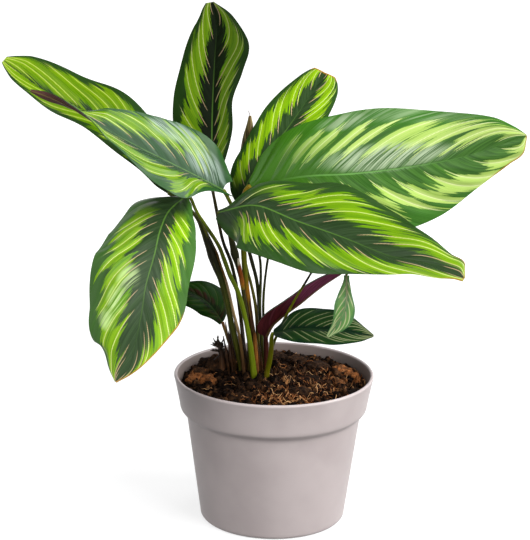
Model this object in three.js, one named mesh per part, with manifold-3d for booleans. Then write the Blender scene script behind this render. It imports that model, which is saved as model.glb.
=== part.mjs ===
// Potted beauty star calathea: a tapered plastic pot, its soil, twelve leaf blades on their stalks, and dry sheaths.
// Millimetres, +Z up. The origin is the centre of the pot's flat underside.
import * as THREE from "three";
import { mergeVertices } from "three/addons/utils/BufferGeometryUtils.js";
import Module from "manifold-3d";

const wasm = await Module();
wasm.setup();

// Driving dimensions
const RIM_RADIUS = 70;
const POT_HEIGHT = 105;
const WALL = 2;
const POT_SEGMENTS = 56;
const SOIL_SEGMENTS = 40;
const SOIL_RINGS = 11;
const SOIL_CROWN = { x: -12, y: 8, z: 102, edge: 94.5 }; // the mound round the stalks, and the soil at the wall
const CLEARANCE = 0.3; // between neighbouring pieces
const BLADE_THICKNESS = 0.8;
const STEP_LENGTH = 9; // along a blade or a stalk
const MOST_STEPS = 18; // along a blade
const WIDE = 12; // half width from which a blade has three steps across each half, and not two
const STALK_SIDES = 7;
const STALK_FOOT = 90; // height of the stalks' lower ends, sunk in the soil
const STALK_JOIN = 0.5; // from a stalk's upper end to the blade's base, along the rib
const LOBE_REACH = 0.15; // how far along the rib a blade's base lobes run

// Where along a blade's rib its half widths are given, as shares of its length
const STATIONS = [0, 0.06, 0.18, 0.32, 0.48, 0.64, 0.79, 0.91, 0.97, 1];

const COLOURS = {
  pot: 0xa8a09b,
  soil: 0x3a2618,
  leaf: 0x4c7a2c,
  leafDark: 0x2f5230,
  leafPale: 0x7fa36a,
  maroon: 0x4a2232,
  stalk: 0x5f6a1c,
  stalkBright: 0x6f9a22,
  stalkDark: 0x39331a,
  sheathTan: 0xa08a5c,
  sheathBrown: 0x9c5a24,
  stub: 0x2c211b,
};

// Each blade: the points of its rib from base to tip, the half widths right and left of the rib (seen from above
// with the tip ahead), the way its upper face looks at some shares of the length, the angle by which each half
// folds up, the angle by which it then curls, the height and count of the edge waves, and the lobes' depth.
const BLADES = {
  a: {
    rib: [[-44, 16, 232], [-45, 26, 258], [-45, 38, 287], [-44, 50, 317], [-43, 58, 340], [-46, 60, 356]],
    right: [1, 4, 10.5, 14.5, 14, 20.5, 23.5, 12.5, 5, 1],
    left: [1, 8, 20, 27, 28, 24, 19.5, 14, 9, 5],
    face: [[0, 0.2, -0.9, 0.35], [1, 0.2, -0.9, 0.4]],
    fold: 14, curl: -24, wave: 1.5, waves: 2.5, lobe: 0, colour: "leaf",
  },
  b: {
    rib: [[-27, 24, 220], [-18, 32, 237], [-7, 42, 252], [6, 54, 266], [20, 68, 284], [34, 79, 304]],
    right: [2, 8, 16, 21, 23, 22, 20.5, 18, 13.5, 9],
    left: [1, 9, 16, 19, 22, 23, 21, 16, 12, 9],
    face: [[0, -0.3, -0.8, 0.5], [1, -0.3, -0.8, 0.5]],
    fold: 14, curl: -24, wave: 1.5, waves: 2, lobe: 0, colour: "leaf",
  },
  c: {
    rib: [[-22, 46, 219], [-21, 54, 237], [-20, 59, 254], [-19, 62, 266], [-19, 64, 275]],
    right: [2, 5, 8, 9.5, 10, 8.5, 6.5, 3.5, 1.8, 1],
    left: [2, 5, 8, 9.5, 10, 8.5, 6.5, 3.5, 1.8, 1],
    face: [[0, -0.1, 0.9, 0.3], [1, -0.1, 0.9, 0.3]],
    fold: 10, curl: 100, wave: 0, waves: 1, lobe: 0, colour: "maroon",
  },
  d: {
    rib: [[-18, 8, 237], [18, 8, 244], [54, 6, 247], [91, 2, 253], [127, -4, 262], [167, -14, 279]],
    right: [2, 13, 27, 38, 43, 37, 23, 14.5, 10.5, 1],
    left: [4, 21, 37, 45, 45, 39.4, 30.6, 19.5, 8.5, 1],
    face: [[0, 0, -0.85, 0.5], [1, -0.1, -0.93, 0.3]],
    fold: 10, curl: -30, wave: 2.5, waves: 2.5, lobe: 0, colour: "leaf",
  },
  e: {
    rib: [[-39, -12, 223], [-14, -24, 231], [13, -40, 225], [44, -56, 218], [73, -70, 210], [96, -80, 208],
      [121, -90.5, 201]],
    right: [5, 23, 39.5, 36.5, 34, 24.5, 11.5, 8, 4, 3],
    left: [2, 5, 27, 40, 42, 37, 25.5, 15.5, 12.5, 1],
    face: [[0, 0.1, -0.64, 0.76], [1, 0.1, -0.64, 0.76]],
    fold: 10, curl: -24, wave: 2, waves: 3, lobe: 0, colour: "leaf",
  },
  f: {
    rib: [[-36, -6, 237], [-52, -16, 248], [-74, -32, 263], [-89, -42, 273], [-111, -54, 288], [-136, -64, 306],
      [-158, -66, 315]],
    right: [12, 34.5, 42, 39, 29, 19, 9, 7, 3, 1],
    left: [1, 6, 20.5, 37.5, 30, 14, 9, 7, 3, 1],
    face: [[0, 0.1, -0.55, 0.83], [0.66, 0.1, -0.5, 0.85], [0.84, 0, 0.3, 0.95], [0.95, 0, 0.95, 0.3],
      [1, 0, 0.95, 0.3]],
    fold: 18, curl: -20, wave: 1.5, waves: 2, lobe: 9, colour: "leaf",
  },
  g: {
    rib: [[-74, 2, 233], [-85, 6, 253], [-102, 14, 269], [-123, 24, 281], [-151, 36, 291], [-171, 44, 301],
      [-191, 48, 315]],
    right: [1, 11, 19, 21.5, 24.5, 24, 21, 16, 9, 4],
    left: [1, 7, 13, 15.5, 15.5, 13, 10.5, 9, 5, 2],
    face: [[0, 0.1, -0.7, 0.7], [1, 0.1, -0.7, 0.7]],
    fold: 18, curl: -20, wave: 2, waves: 2.5, lobe: 0, colour: "leaf",
  },
  h: {
    rib: [[-62, -14, 234], [-72, -32, 228], [-77, -46, 218], [-80, -58, 205], [-85, -70, 187], [-88, -79, 167],
      [-94, -86, 142], [-104, -88, 127]],
    right: [1, 26, 34, 43, 45, 42, 38, 30, 16, 1],
    left: [1, 11, 21, 26, 29, 28, 17.5, 7, 3, 1],
    face: [[0, -0.3, -0.6, 0.8], [0.2, -0.3, -0.85, 0.5], [1, -0.3, -0.9, 0.35]],
    fold: 6, curl: -30, wave: 2, waves: 2.5, lobe: 2, colour: "leaf",
  },
  i: {
    rib: [[-37, 30, 132], [-46, 28, 145], [-54, 26, 152], [-63, 24, 157], [-73, 22, 160]],
    right: [3, 9.5, 17, 18.5, 16, 12.5, 8, 4, 2.2, 1],
    left: [3, 4, 6.5, 10, 12, 13, 12, 8, 3.5, 1],
    face: [[0, 0.1, -0.6, 0.8], [1, 0.1, -0.6, 0.8]],
    fold: 10, curl: -24, wave: 1, waves: 2, lobe: 0, colour: "leafDark",
  },
  j: {
    rib: [[-1, -14, 138], [14, -20, 143], [31, -26, 145], [48, -32, 146], [67, -36, 144]],
    right: [1, 5, 10, 13, 15, 15, 11, 7, 3.1, 1],
    left: [4, 7, 16, 20, 19, 16, 12, 6, 2.7, 1],
    face: [[0, 0, -0.5, 0.86], [1, 0, -0.5, 0.86]],
    fold: 12, curl: -16, wave: 1, waves: 2, lobe: 0, colour: "leafDark",
  },
  k: {
    rib: [[47, -52, 191], [47, -56, 182], [47, -59, 175], [44, -61, 165], [35, -61, 151]],
    right: [2, 2, 4, 7, 8, 6, 3, 2, 1.3, 1],
    left: [2, 2, 3, 4, 7, 8, 6, 3, 1.7, 1],
    face: [[0, 0.3, -0.9, 0.3], [1, 0.3, -0.9, 0.3]],
    fold: 14, curl: -20, wave: 0, waves: 1, lobe: 0, colour: "leafPale",
  },
  l: {
    rib: [[-5.6, 8, 129], [-1.7, 6, 137.4], [3.8, 3, 143.9], [10.6, -1, 150.7], [18.1, -5, 157.8],
      [25.5, -9, 165.5], [34.1, -13, 173.6], [44.7, -17.5, 182.1]],
    right: [6, 9, 9, 8.2, 7.9, 7.5, 6.2, 4.6, 2.6, 1],
    left: [6, 9, 9, 8.2, 7.9, 7.5, 6.2, 4.6, 2.6, 1],
    face: [[0, -0.6, 0, 0.8], [1, -0.6, 0, 0.8]],
    fold: 76, curl: 10, wave: 0, waves: 1, lobe: 0, colour: "maroon",
  },
};

// Each stalk: points from the soil up to the blade's base, as x, y, z and radius.
const STALKS = {
  a: {
    line: [[-20, 15, 104, 1.5], [-25, 15, 150, 1.4], [-30.2, 15, 178, 1.3], [-37, 15, 197, 1.2],
      [-42, 15, 222, 1.2]],
    colour: "stalkDark",
  },
  b: {
    line: [[-11, 21, 104, 1.3], [-11, 22, 143, 1.3], [-12.6, 22, 163.6, 1.3], [-16.3, 22, 178.9, 1.4],
      [-21.5, 22, 198, 1.2], [-25.5, 23, 214, 1.2]],
    colour: "stalkDark",
  },
  c: {
    line: [[-7.5, 16, 104, 1.3], [-10.3, 17, 145, 1.1], [-10.5, 26, 178, 1], [-17.5, 38, 203, 0.9],
      [-21, 43.5, 214, 1]],
    colour: "stalkDark",
  },
  d: {
    line: [[-10.5, 8, 104, 2.2], [-16, 8, 137, 2], [-20, 8, 166, 2], [-22, 8, 190, 2], [-23, 8, 220, 1.8],
      [-21.5, 8, 232, 1.9]],
    colour: "stalk",
  },
  e: {
    line: [[-17, 4.5, 104, 1.6], [-18, 5, 130, 1.4], [-20.5, 4, 152, 1.4], [-22.9, 3, 168.3, 1.5],
      [-25.1, 2, 178.6, 1.7], [-26.9, 1, 186, 2.3], [-28.2, 0, 191.3, 2.9], [-29.4, -1.5, 197, 2.4],
      [-33, -6, 210, 1.3], [-38.5, -10.5, 219.5, 1.3]],
    colour: "stalkDark",
  },
  f: {
    line: [[-11.6, 13, 104, 1.5], [-11.6, 13, 124, 1.4], [-12.4, 13, 139, 1.3], [-13.4, 13.3, 149, 1.2],
      [-15.2, 13.8, 158.6, 1.1], [-17.3, 14, 167.3, 1.1], [-19.7, 14, 176, 1.1], [-24.5, 12, 197, 1.2],
      [-29, 2, 220, 1.3], [-33, -3, 231, 1.4]],
    colour: "stalk",
  },
  g: {
    line: [[-23, 8, 104, 2], [-30, 8, 137, 2.1], [-36.2, 8, 166, 2.6], [-42.5, 8, 185, 3.8],
      [-47.5, 7, 199, 2.9], [-54, 6, 214, 1.5], [-65, 4, 226.5, 1.2], [-70.5, 3, 230.5, 1.3]],
    colour: "stalk",
  },
  h: {
    line: [[-14, 0, 103, 2.4], [-18.5, 0, 135, 1.8], [-25, -2, 162, 1.7], [-31, -4, 176, 1.6],
      [-35.3, -5, 188, 1.5], [-40, -7, 200, 1.4], [-53, -10, 221, 1.2], [-57.5, -11.5, 231.5, 1.2],
      [-59.5, -12.5, 233.5, 1.3]],
    colour: "stalkBright",
  },
  i: {
    line: [[-27, 14, 103, 1.3], [-30, 17, 114, 1.2], [-33.5, 22, 124, 1.1], [-36, 28.5, 129.5, 1.2]],
    colour: "stalk",
  },
  j: {
    line: [[-5, 1, 103, 2], [-3.5, -2, 112, 1.9], [-2, -8, 125, 1.7], [-2, -12, 134, 1.5]],
    colour: "stalkBright",
  },
  k: {
    line: [[-3.5, 13, 104, 1.1], [-0.5, 9, 123, 1], [10, -4, 152, 0.9], [21, -22, 178, 0.8], [28, -36, 194, 0.8],
      [35, -44, 201, 0.8], [42, -48.5, 200, 0.8], [46.3, -51, 195, 0.9]],
    colour: "stalk",
  },
  l: {
    line: [[-5.5, 9.5, 104, 1.9], [-5.5, 9, 117, 1.8], [-6, 8.5, 127, 1.6]],
    colour: "maroon",
  },
  m: {
    line: [[-6.5, 23, 104, 1.1], [-8, 22, 144, 1], [-7, 19, 167, 0.9], [-4, 13, 193, 0.9]],
    colour: "stalkDark",
  },
};

// Dry strips that stand against the stalks: shaped as blades, narrow and hollow.
const SHEATHS = {
  sheath_tan: {
    rib: [[-20.6, 2, 99], [-24, 3, 127.4], [-28.7, 3.8, 146.9], [-32.7, 4.4, 164.8], [-35.5, 4.6, 174.1],
      [-38.7, 4.6, 183.5], [-42.2, 4.1, 194.3]],
    right: [1.6, 1.6, 1.6, 1.5, 1.4, 1.2, 1.1, 1, 0.8, 0.6],
    left: [1.6, 1.6, 1.6, 1.5, 1.4, 1.2, 1.1, 1, 0.8, 0.6],
    face: [[0, 0, -1, 0.1], [1, 0, -1, 0.1]],
    fold: -10, curl: -60, wave: 0, waves: 1, lobe: 0, colour: "sheathTan",
  },
  sheath_brown: {
    rib: [[-11.5, 3, 99], [-12.5, 3, 112], [-13.2, 3, 122], [-13.9, 2.9, 133]],
    right: [2.4, 2.4, 2.3, 2.2, 2.1, 2.1, 2, 1.9, 1.6, 1.2],
    left: [2.4, 2.4, 2.3, 2.2, 2.1, 2.1, 2, 1.9, 1.6, 1.2],
    face: [[0, 0, -1, 0.1], [1, 0, -1, 0.1]],
    fold: -10, curl: -70, wave: 0, waves: 1, lobe: 0, colour: "sheathBrown",
  },
  sheath_torn: {
    rib: [[-22, 0.3, 164.7], [-23.3, -0.8, 173], [-24.5, -2.2, 181.2], [-25.6, -3.2, 188.3]],
    right: [1, 1.6, 2.1, 2.1, 1.9, 1.7, 1.4, 1.1, 0.8, 0.6],
    left: [1, 1.6, 2.1, 2.1, 1.9, 1.7, 1.4, 1.1, 0.8, 0.6],
    face: [[0, 0, -1, 0.1], [1, 0.2, -1, 0.1]],
    fold: -10, curl: -50, wave: 0, waves: 1, lobe: 0, colour: "sheathBrown",
  },
};

const DEAD_STUB = [
  [-36, 12, 99, 2.8], [-36.8, 12, 112, 2.8], [-37.7, 12, 119, 2.5], [-39.5, 11.5, 125, 1.6], [-41, 11, 127.5, 0.8],
];

// Bark chunks raised from the soil's top: x, y, radius and height
const CHUNKS = [
  [-45, -8, 13, 5], [50, 6, 11, 6], [18, -22, 12, 4], [-20, -30, 10, 3], [30, 30, 12, 4], [-30, 38, 12, 4],
  [2, 46, 10, 4], [36, -34, 9, 3], [-52, 18, 8, 3], [4, -48, 11, 3], [56, -16, 7, 3], [-38, -38, 8, 3],
];

function material(colour, roughness = 0.55) {
  return new THREE.MeshStandardMaterial({
    color: COLOURS[colour],
    roughness,
    metalness: 0,
    side: THREE.DoubleSide,
  });
}

// The closed geometry of a list of equal rings of points, with a flat cap on the first and the last.
function closedLoft(rings) {
  const count = rings[0].length;
  const positions = rings.flat().flatMap((p) => [p.x, p.y, p.z]);
  const faces = [];
  for (let i = 0; i + 1 < rings.length; i++) {
    for (let j = 0; j < count; j++) {
      const a = i * count + j;
      const b = i * count + ((j + 1) % count);
      faces.push(a, b, b + count, a, b + count, a + count);
    }
  }
  const last = (rings.length - 1) * count;
  for (let j = 1; j + 1 < count; j++) {
    faces.push(0, j + 1, j);
    faces.push(last, last + j, last + j + 1);
  }
  const geometry = new THREE.BufferGeometry();
  geometry.setAttribute("position", new THREE.Float32BufferAttribute(positions, 3));
  geometry.setIndex(faces);
  return geometry;
}

// A smooth value at a share t of the way, from values given at the stations.
function stationValue(values, t) {
  let i = 0;
  while (i < STATIONS.length - 2 && t > STATIONS[i + 1]) i++;
  const slope = (k) => {
    const low = Math.max(k - 1, 0);
    const high = Math.min(k + 1, STATIONS.length - 1);
    return (values[high] - values[low]) / (STATIONS[high] - STATIONS[low]);
  };
  const step = STATIONS[i + 1] - STATIONS[i];
  const u = (t - STATIONS[i]) / step;
  const rise = (2 * u ** 3 - 3 * u ** 2 + 1) * values[i] + (3 * u ** 2 - 2 * u ** 3) * values[i + 1];
  return rise + step * ((u ** 3 - 2 * u ** 2 + u) * slope(i) + (u ** 3 - u ** 2) * slope(i + 1));
}

// The way a blade's upper face looks at a share t of its length.
function facing(face, t) {
  let i = 0;
  while (i < face.length - 2 && t > face[i + 1][0]) i++;
  const u = (t - face[i][0]) / (face[i + 1][0] - face[i][0]);
  const from = new THREE.Vector3(...face[i].slice(1)).normalize();
  const to = new THREE.Vector3(...face[i + 1].slice(1)).normalize();
  return from.lerp(to, u);
}

function smoothCurve(points) {
  return new THREE.CatmullRomCurve3(points.map(([x, y, z]) => new THREE.Vector3(x, y, z)), false, "catmullrom", 0.5);
}

// A point of a blade's upper face: t along the rib, u across, from -1 at the left edge to 1 at the right one.
function bladePoint(blade, curve, t, u) {
  const along = curve.getTangentAt(t);
  const up = facing(blade.face, t);
  up.addScaledVector(along, -up.dot(along)).normalize();
  const across = new THREE.Vector3().crossVectors(along, up);
  const side = Math.sign(u);
  const share = Math.abs(u);
  const width = Math.max(stationValue(side < 0 ? blade.left : blade.right, t), 0.6);
  const fold = THREE.MathUtils.degToRad(blade.fold);
  const curl = THREE.MathUtils.degToRad(blade.curl);
  const end = fold + curl * share;
  const out = (width * (Math.sin(end) - Math.sin(fold))) / curl;
  const rise = (width * (Math.cos(fold) - Math.cos(end))) / curl;
  const swell = Math.sqrt(Math.sin(Math.PI * t)) * share ** 2 * blade.wave;
  const ripple = swell * Math.sin(2 * Math.PI * blade.waves * t + (side > 0 ? 1.3 : 0));
  const lobe = blade.lobe * Math.max(0, 1 - t / LOBE_REACH) ** 2 * share ** 2;
  return curve
    .getPointAt(t)
    .addScaledVector(across, side * out)
    .addScaledVector(up, rise + ripple)
    .addScaledVector(along, -lobe);
}

// A blade as a closed sheet.
function bladeGeometry(blade) {
  const curve = smoothCurve(blade.rib);
  const columns = Math.max(...blade.left, ...blade.right) > WIDE ? 6 : 4;
  const steps = THREE.MathUtils.clamp(Math.round(curve.getLength() / STEP_LENGTH), 6, MOST_STEPS);
  const grid = [];
  for (let i = 0; i <= steps; i++) {
    const even = i / steps;
    const t = 0.5 * even + 0.25 * (1 - Math.cos(Math.PI * even)); // closer rows near both ends
    const row = [];
    for (let j = 0; j <= columns; j++) row.push(bladePoint(blade, curve, t, (2 * j) / columns - 1));
    grid.push(row);
  }
  const rings = grid.map((row, i) => {
    const ahead = grid[Math.min(i + 1, steps)];
    const behind = grid[Math.max(i - 1, 0)];
    const faceUp = row.map((_, j) => {
      const along = new THREE.Vector3().subVectors(ahead[j], behind[j]);
      const across = new THREE.Vector3().subVectors(row[Math.min(j + 1, columns)], row[Math.max(j - 1, 0)]);
      return across.cross(along).normalize();
    });
    return [row, row.map((p, j) => p.clone().addScaledVector(faceUp[j], -BLADE_THICKNESS))];
  });
  return sheetGeometry(rings, columns + 1);
}

// The closed sheet between an upper and a lower grid, with both faces split alike.
function sheetGeometry(rows, count) {
  const positions = [];
  rows.forEach(([upper, lower]) => [...upper, ...lower].forEach((p) => positions.push(p.x, p.y, p.z)));
  const upper = (i, j) => i * 2 * count + j;
  const lower = (i, j) => i * 2 * count + count + j;
  const faces = [];
  const quad = (a, b, c, d) => faces.push(a, b, c, a, c, d);
  const last = rows.length - 1;
  for (let i = 0; i < last; i++) {
    for (let j = 0; j + 1 < count; j++) {
      quad(upper(i, j), upper(i, j + 1), upper(i + 1, j + 1), upper(i + 1, j));
      faces.push(lower(i, j), lower(i + 1, j + 1), lower(i, j + 1));
      faces.push(lower(i, j), lower(i + 1, j), lower(i + 1, j + 1));
    }
    quad(upper(i, 0), upper(i + 1, 0), lower(i + 1, 0), lower(i, 0));
    quad(upper(i, count - 1), lower(i, count - 1), lower(i + 1, count - 1), upper(i + 1, count - 1));
  }
  for (let j = 0; j + 1 < count; j++) {
    quad(upper(0, j), lower(0, j), lower(0, j + 1), upper(0, j + 1));
    quad(upper(last, j), upper(last, j + 1), lower(last, j + 1), lower(last, j));
  }
  const geometry = new THREE.BufferGeometry();
  geometry.setAttribute("position", new THREE.Float32BufferAttribute(positions, 3));
  geometry.setIndex(faces);
  return geometry;
}

// A round stalk along points of x, y, z and radius.
function stalkGeometry(line, grow = 0) {
  const curve = smoothCurve(line);
  const radii = new THREE.SplineCurve(line.map((p, i) => new THREE.Vector2(i, p[3])));
  const steps = Math.max(4, Math.round(curve.getLength() / STEP_LENGTH));
  const rings = [];
  for (let i = 0; i <= steps; i++) {
    const t = curve.getUtoTmapping(i / steps);
    const centre = curve.getPoint(t);
    const along = curve.getTangent(t);
    const first = new THREE.Vector3().crossVectors(along, new THREE.Vector3(0, 1, 0)).normalize();
    const second = new THREE.Vector3().crossVectors(along, first);
    const radius = radii.getPoint(t).y + grow;
    const ring = [];
    for (let j = 0; j < STALK_SIDES; j++) {
      const angle = (2 * Math.PI * j) / STALK_SIDES;
      ring.push(
        centre
          .clone()
          .addScaledVector(first, radius * Math.cos(angle))
          .addScaledVector(second, radius * Math.sin(angle)),
      );
    }
    rings.push(ring);
  }
  return closedLoft(rings);
}

// A stalk's points with its foot straight down in the soil.
function rooted(line, deeper = 0) {
  const [x, y, , radius] = line[0];
  return [[x, y, STALK_FOOT - deeper, radius], ...line];
}

// A stalk's points with its upper end brought to the blade that it carries.
function joined(line, blade) {
  const curve = smoothCurve(blade.rib);
  const end = curve.getPointAt(0).addScaledVector(curve.getTangentAt(0), -STALK_JOIN);
  return [...line, [end.x, end.y, end.z, line.at(-1)[3]]];
}

function toSolid(geometry) {
  const bare = geometry.clone();
  bare.deleteAttribute("normal");
  bare.deleteAttribute("uv");
  const merged = mergeVertices(bare, 1e-4);
  return new wasm.Manifold(
    new wasm.Mesh({
      numProp: 3,
      vertProperties: merged.attributes.position.array,
      triVerts: new Uint32Array(merged.index.array),
    }),
  );
}

function toGeometry(solid) {
  const mesh = solid.getMesh();
  const geometry = new THREE.BufferGeometry();
  geometry.setAttribute("position", new THREE.Float32BufferAttribute(mesh.vertProperties, 3));
  geometry.setIndex(Array.from(mesh.triVerts));
  return geometry;
}

// Copies of a piece moved a little each way, which together cut its clearance from a neighbour.
function clearanceCutters(geometry) {
  const cutters = [];
  for (const x of [-1, 0, 1]) {
    for (const y of [-1, 0, 1]) {
      for (const z of [-1, 0, 1]) {
        if (!x && !y && !z) continue;
        const shift = new THREE.Vector3(x, y, z).setLength(CLEARANCE);
        cutters.push(toSolid(geometry.clone().translate(shift.x, shift.y, shift.z)));
      }
    }
  }
  return cutters;
}

// What is left of a solid after the cuts: its largest piece.
function cutSolid(solid, cutters) {
  const rest = cutters.reduce((body, cutter) => body.subtract(cutter), solid);
  return rest.decompose().sort((p, q) => q.volume() - p.volume())[0];
}

// The pot: a tapered wall, a step under a tall rim band, a rounded lip and a flat underside.
const POT_OUTSIDE = [
  [0, 0], [48.2, 0], [50.2, 0.5], [51.1, 1.7], [51.4, 4], [61.1, 75.6], [61.7, 77.1], [64.6, 79.7], [65.6, 81.5],
  [66, 84], [RIM_RADIUS - 0.5, 102.5], [RIM_RADIUS, 103.6], [RIM_RADIUS - 0.3, 104.7],
];
const POT_INSIDE = [
  [RIM_RADIUS - 1.3, POT_HEIGHT], [RIM_RADIUS - 2.2, 104.6], [RIM_RADIUS - 2.6, 103.4], [63.8, 83.7],
  [63.3, 82.1], [59.1, 78.4], [49.4, 5], [47.4, WALL + 0.4], [0, WALL],
];

function potMesh() {
  const profile = [...POT_OUTSIDE, ...POT_INSIDE].map(([r, z]) => new THREE.Vector2(r, z));
  const geometry = new THREE.LatheGeometry(profile, POT_SEGMENTS);
  geometry.rotateX(Math.PI / 2);
  return new THREE.Mesh(geometry, material("pot", 0.6));
}

// Height of the soil's top: a low mound round the stalks, small lumps, and the bark chunks.
function soilHeight(x, y) {
  const away = Math.hypot(x - SOIL_CROWN.x, y - SOIL_CROWN.y) / RIM_RADIUS;
  const mound = SOIL_CROWN.edge + (SOIL_CROWN.z - SOIL_CROWN.edge) * Math.exp(-3.2 * away ** 2);
  const lumps = 0.8 * Math.sin(0.31 * x + 1.7) * Math.sin(0.27 * y + 0.4) + 0.6 * Math.sin(0.55 * x - 0.48 * y);
  const bark = CHUNKS.reduce((height, [cx, cy, radius, rise]) => {
    const share = Math.hypot(x - cx, y - cy) / radius;
    return Math.max(height, share < 1 ? rise * (1 - share ** 4) : 0);
  }, 0);
  return mound + lumps + bark;
}

// Radius of the soil at a height: the pot's inside less the clearance.
function soilRadius(z) {
  const inside = [...POT_INSIDE].reverse();
  let i = 1;
  while (i < inside.length - 2 && z > inside[i + 1][1]) i++;
  const share = (z - inside[i][1]) / (inside[i + 1][1] - inside[i][1]);
  return inside[i][0] + (inside[i + 1][0] - inside[i][0]) * share - 2 * CLEARANCE;
}

function soilSolid() {
  const levels = [WALL + 0.4 + CLEARANCE, 5.3, 40, 78.1, 82.1, 83.7];
  const rings = [];
  const ringAt = (radius, height) => {
    const ring = [];
    for (let j = 0; j < SOIL_SEGMENTS; j++) {
      const angle = (2 * Math.PI * j) / SOIL_SEGMENTS;
      const x = radius * Math.cos(angle);
      const y = radius * Math.sin(angle);
      ring.push(new THREE.Vector3(x, y, height ?? soilHeight(x, y)));
    }
    return ring;
  };
  levels.forEach((z) => rings.push(ringAt(soilRadius(z), z)));
  const topRadius = soilRadius(90);
  for (let k = 0; k < SOIL_RINGS; k++) rings.push(ringAt(topRadius * (1 - k / SOIL_RINGS)));
  return toSolid(closedLoft(rings));
}

const plant = new THREE.Group();

const bladeCutters = {};
for (const [name, blade] of Object.entries(BLADES)) {
  const mesh = new THREE.Mesh(bladeGeometry(blade), material(blade.colour));
  mesh.name = `blade_${name}`;
  plant.add(mesh);
  bladeCutters[name] = clearanceCutters(mesh.geometry);
}

const soilCutters = [];
for (const [name, stalk] of Object.entries(STALKS)) {
  const line = name in BLADES ? joined(stalk.line, BLADES[name]) : stalk.line;
  const solid = toSolid(stalkGeometry(rooted(line)));
  const kept = name in BLADES ? cutSolid(solid, bladeCutters[name]) : solid;
  const mesh = new THREE.Mesh(toGeometry(kept), material(stalk.colour));
  mesh.name = `stalk_${name}`;
  plant.add(mesh);
  soilCutters.push(toSolid(stalkGeometry(rooted(line, CLEARANCE), CLEARANCE)));
}

for (const [name, sheath] of Object.entries(SHEATHS)) {
  const mesh = new THREE.Mesh(bladeGeometry(sheath), material(sheath.colour, 0.8));
  mesh.name = name;
  plant.add(mesh);
  if (sheath.rib[0][2] > POT_HEIGHT) continue;
  const hole = sheath.right[0] + BLADE_THICKNESS;
  soilCutters.push(toSolid(stalkGeometry(rooted(sheath.rib.map((p) => [...p, hole])))));
}

const stub = new THREE.Mesh(stalkGeometry(rooted(DEAD_STUB)), material("stub", 0.9));
stub.name = "dead_stub";
plant.add(stub);
soilCutters.push(toSolid(stalkGeometry(rooted(DEAD_STUB, CLEARANCE), CLEARANCE)));

const soil = new THREE.Mesh(toGeometry(cutSolid(soilSolid(), soilCutters)), material("soil", 0.95));
soil.name = "soil";
plant.add(soil);

const pot = potMesh();
pot.name = "pot";
plant.add(pot);

export default plant;
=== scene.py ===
import math

import bpy
import numpy as np
from mathutils import Matrix, Vector


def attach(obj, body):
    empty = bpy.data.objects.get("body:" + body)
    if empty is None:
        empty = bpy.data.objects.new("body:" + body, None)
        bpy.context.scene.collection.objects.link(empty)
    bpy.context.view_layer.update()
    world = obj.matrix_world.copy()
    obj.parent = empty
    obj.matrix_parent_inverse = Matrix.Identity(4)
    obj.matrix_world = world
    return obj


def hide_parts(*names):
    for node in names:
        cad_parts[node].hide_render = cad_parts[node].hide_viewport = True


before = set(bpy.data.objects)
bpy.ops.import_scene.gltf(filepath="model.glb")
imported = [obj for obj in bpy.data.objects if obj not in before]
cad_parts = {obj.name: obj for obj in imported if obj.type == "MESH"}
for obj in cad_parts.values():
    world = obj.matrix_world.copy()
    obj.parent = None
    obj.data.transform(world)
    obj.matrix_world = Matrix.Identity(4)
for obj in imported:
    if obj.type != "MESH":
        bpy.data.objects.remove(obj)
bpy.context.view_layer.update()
print("frame loaded:", len(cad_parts), "nodes")

mm = 0.001  # the tables below are in millimetres
tiny = 1e-9
roundTurn = 6.28  # about a full turn, for random angles and waves


def srgb(red, green, blue):
    # a colour as a picture shows it, for a shader
    shares = [value / 255 for value in (red, green, blue)]
    return tuple(s / 12.92 if s <= 0.04045 else ((s + 0.055) / 1.055) ** 2.4 for s in shares) + (1.0,)


class Wire:
    # a shader socket that can be used in sums
    def __init__(self, tree, socket=None):
        self.tree = tree
        self.socket = socket

    def node(self, kind, settings=None, values=None, output=0):
        made = self.tree.nodes.new("ShaderNode" + kind)
        for name, value in (settings or {}).items():
            if name == "stops":
                self.setStops(made.color_ramp, value)
            else:
                setattr(made, name, value)
        for name, value in (values or {}).items():
            if isinstance(value, Wire):
                self.tree.links.new(value.socket, made.inputs[name])
            else:
                made.inputs[name].default_value = value
        return Wire(self.tree, made.outputs[output] if made.outputs else None)

    def setStops(self, ramp, stops):
        while len(ramp.elements) < len(stops):
            ramp.elements.new(1.0)
        for element, (place, colour) in zip(ramp.elements, stops):
            element.position = place
            element.color = colour

    def maths(self, operation, *values):
        return self.node("Math", {"operation": operation}, dict(enumerate(values)))

    def __add__(self, other):
        return self.maths("ADD", self, other)

    def __radd__(self, other):
        return self.maths("ADD", other, self)

    def __sub__(self, other):
        return self.maths("SUBTRACT", self, other)

    def __rsub__(self, other):
        return self.maths("SUBTRACT", other, self)

    def __mul__(self, other):
        return self.maths("MULTIPLY", self, other)

    def __rmul__(self, other):
        return self.maths("MULTIPLY", other, self)

    def __abs__(self):
        return self.maths("ABSOLUTE", self)


def startMaterial(name):
    material = bpy.data.materials.new(name)
    material.use_nodes = True
    material.node_tree.nodes.clear()
    return material, Wire(material.node_tree)


def attributes(wire, *names):
    # named values of the mesh's points, one wire each
    return [wire.node("Attribute", {"attribute_name": name}, output=2) for name in names]


def ownPlace(wire):
    # where a point lies on its piece, in metres
    return wire.node("TexCoord", output=3)


def between(value, low, high, start=0.0, end=1.0):
    # a soft step from start to end while the value goes from low to high
    values = {0: value, 1: low, 2: high, 3: start, 4: end}
    return value.node("MapRange", {"interpolation_type": "SMOOTHSTEP"}, values)


def mixColours(share, first, second):
    # 0, 6, 7 and 2 are the Mix node's sockets for colours
    return share.node("Mix", {"data_type": "RGBA"}, {0: share, 6: first, 7: second}, output=2)


def ramp(value, run):
    # a colour from a run of colours as a picture shows them, each with its place
    stops = [(share, srgb(*shade)) for share, shade in run]
    return value.node("ValToRGB", {"stops": stops}, {0: value})


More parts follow.
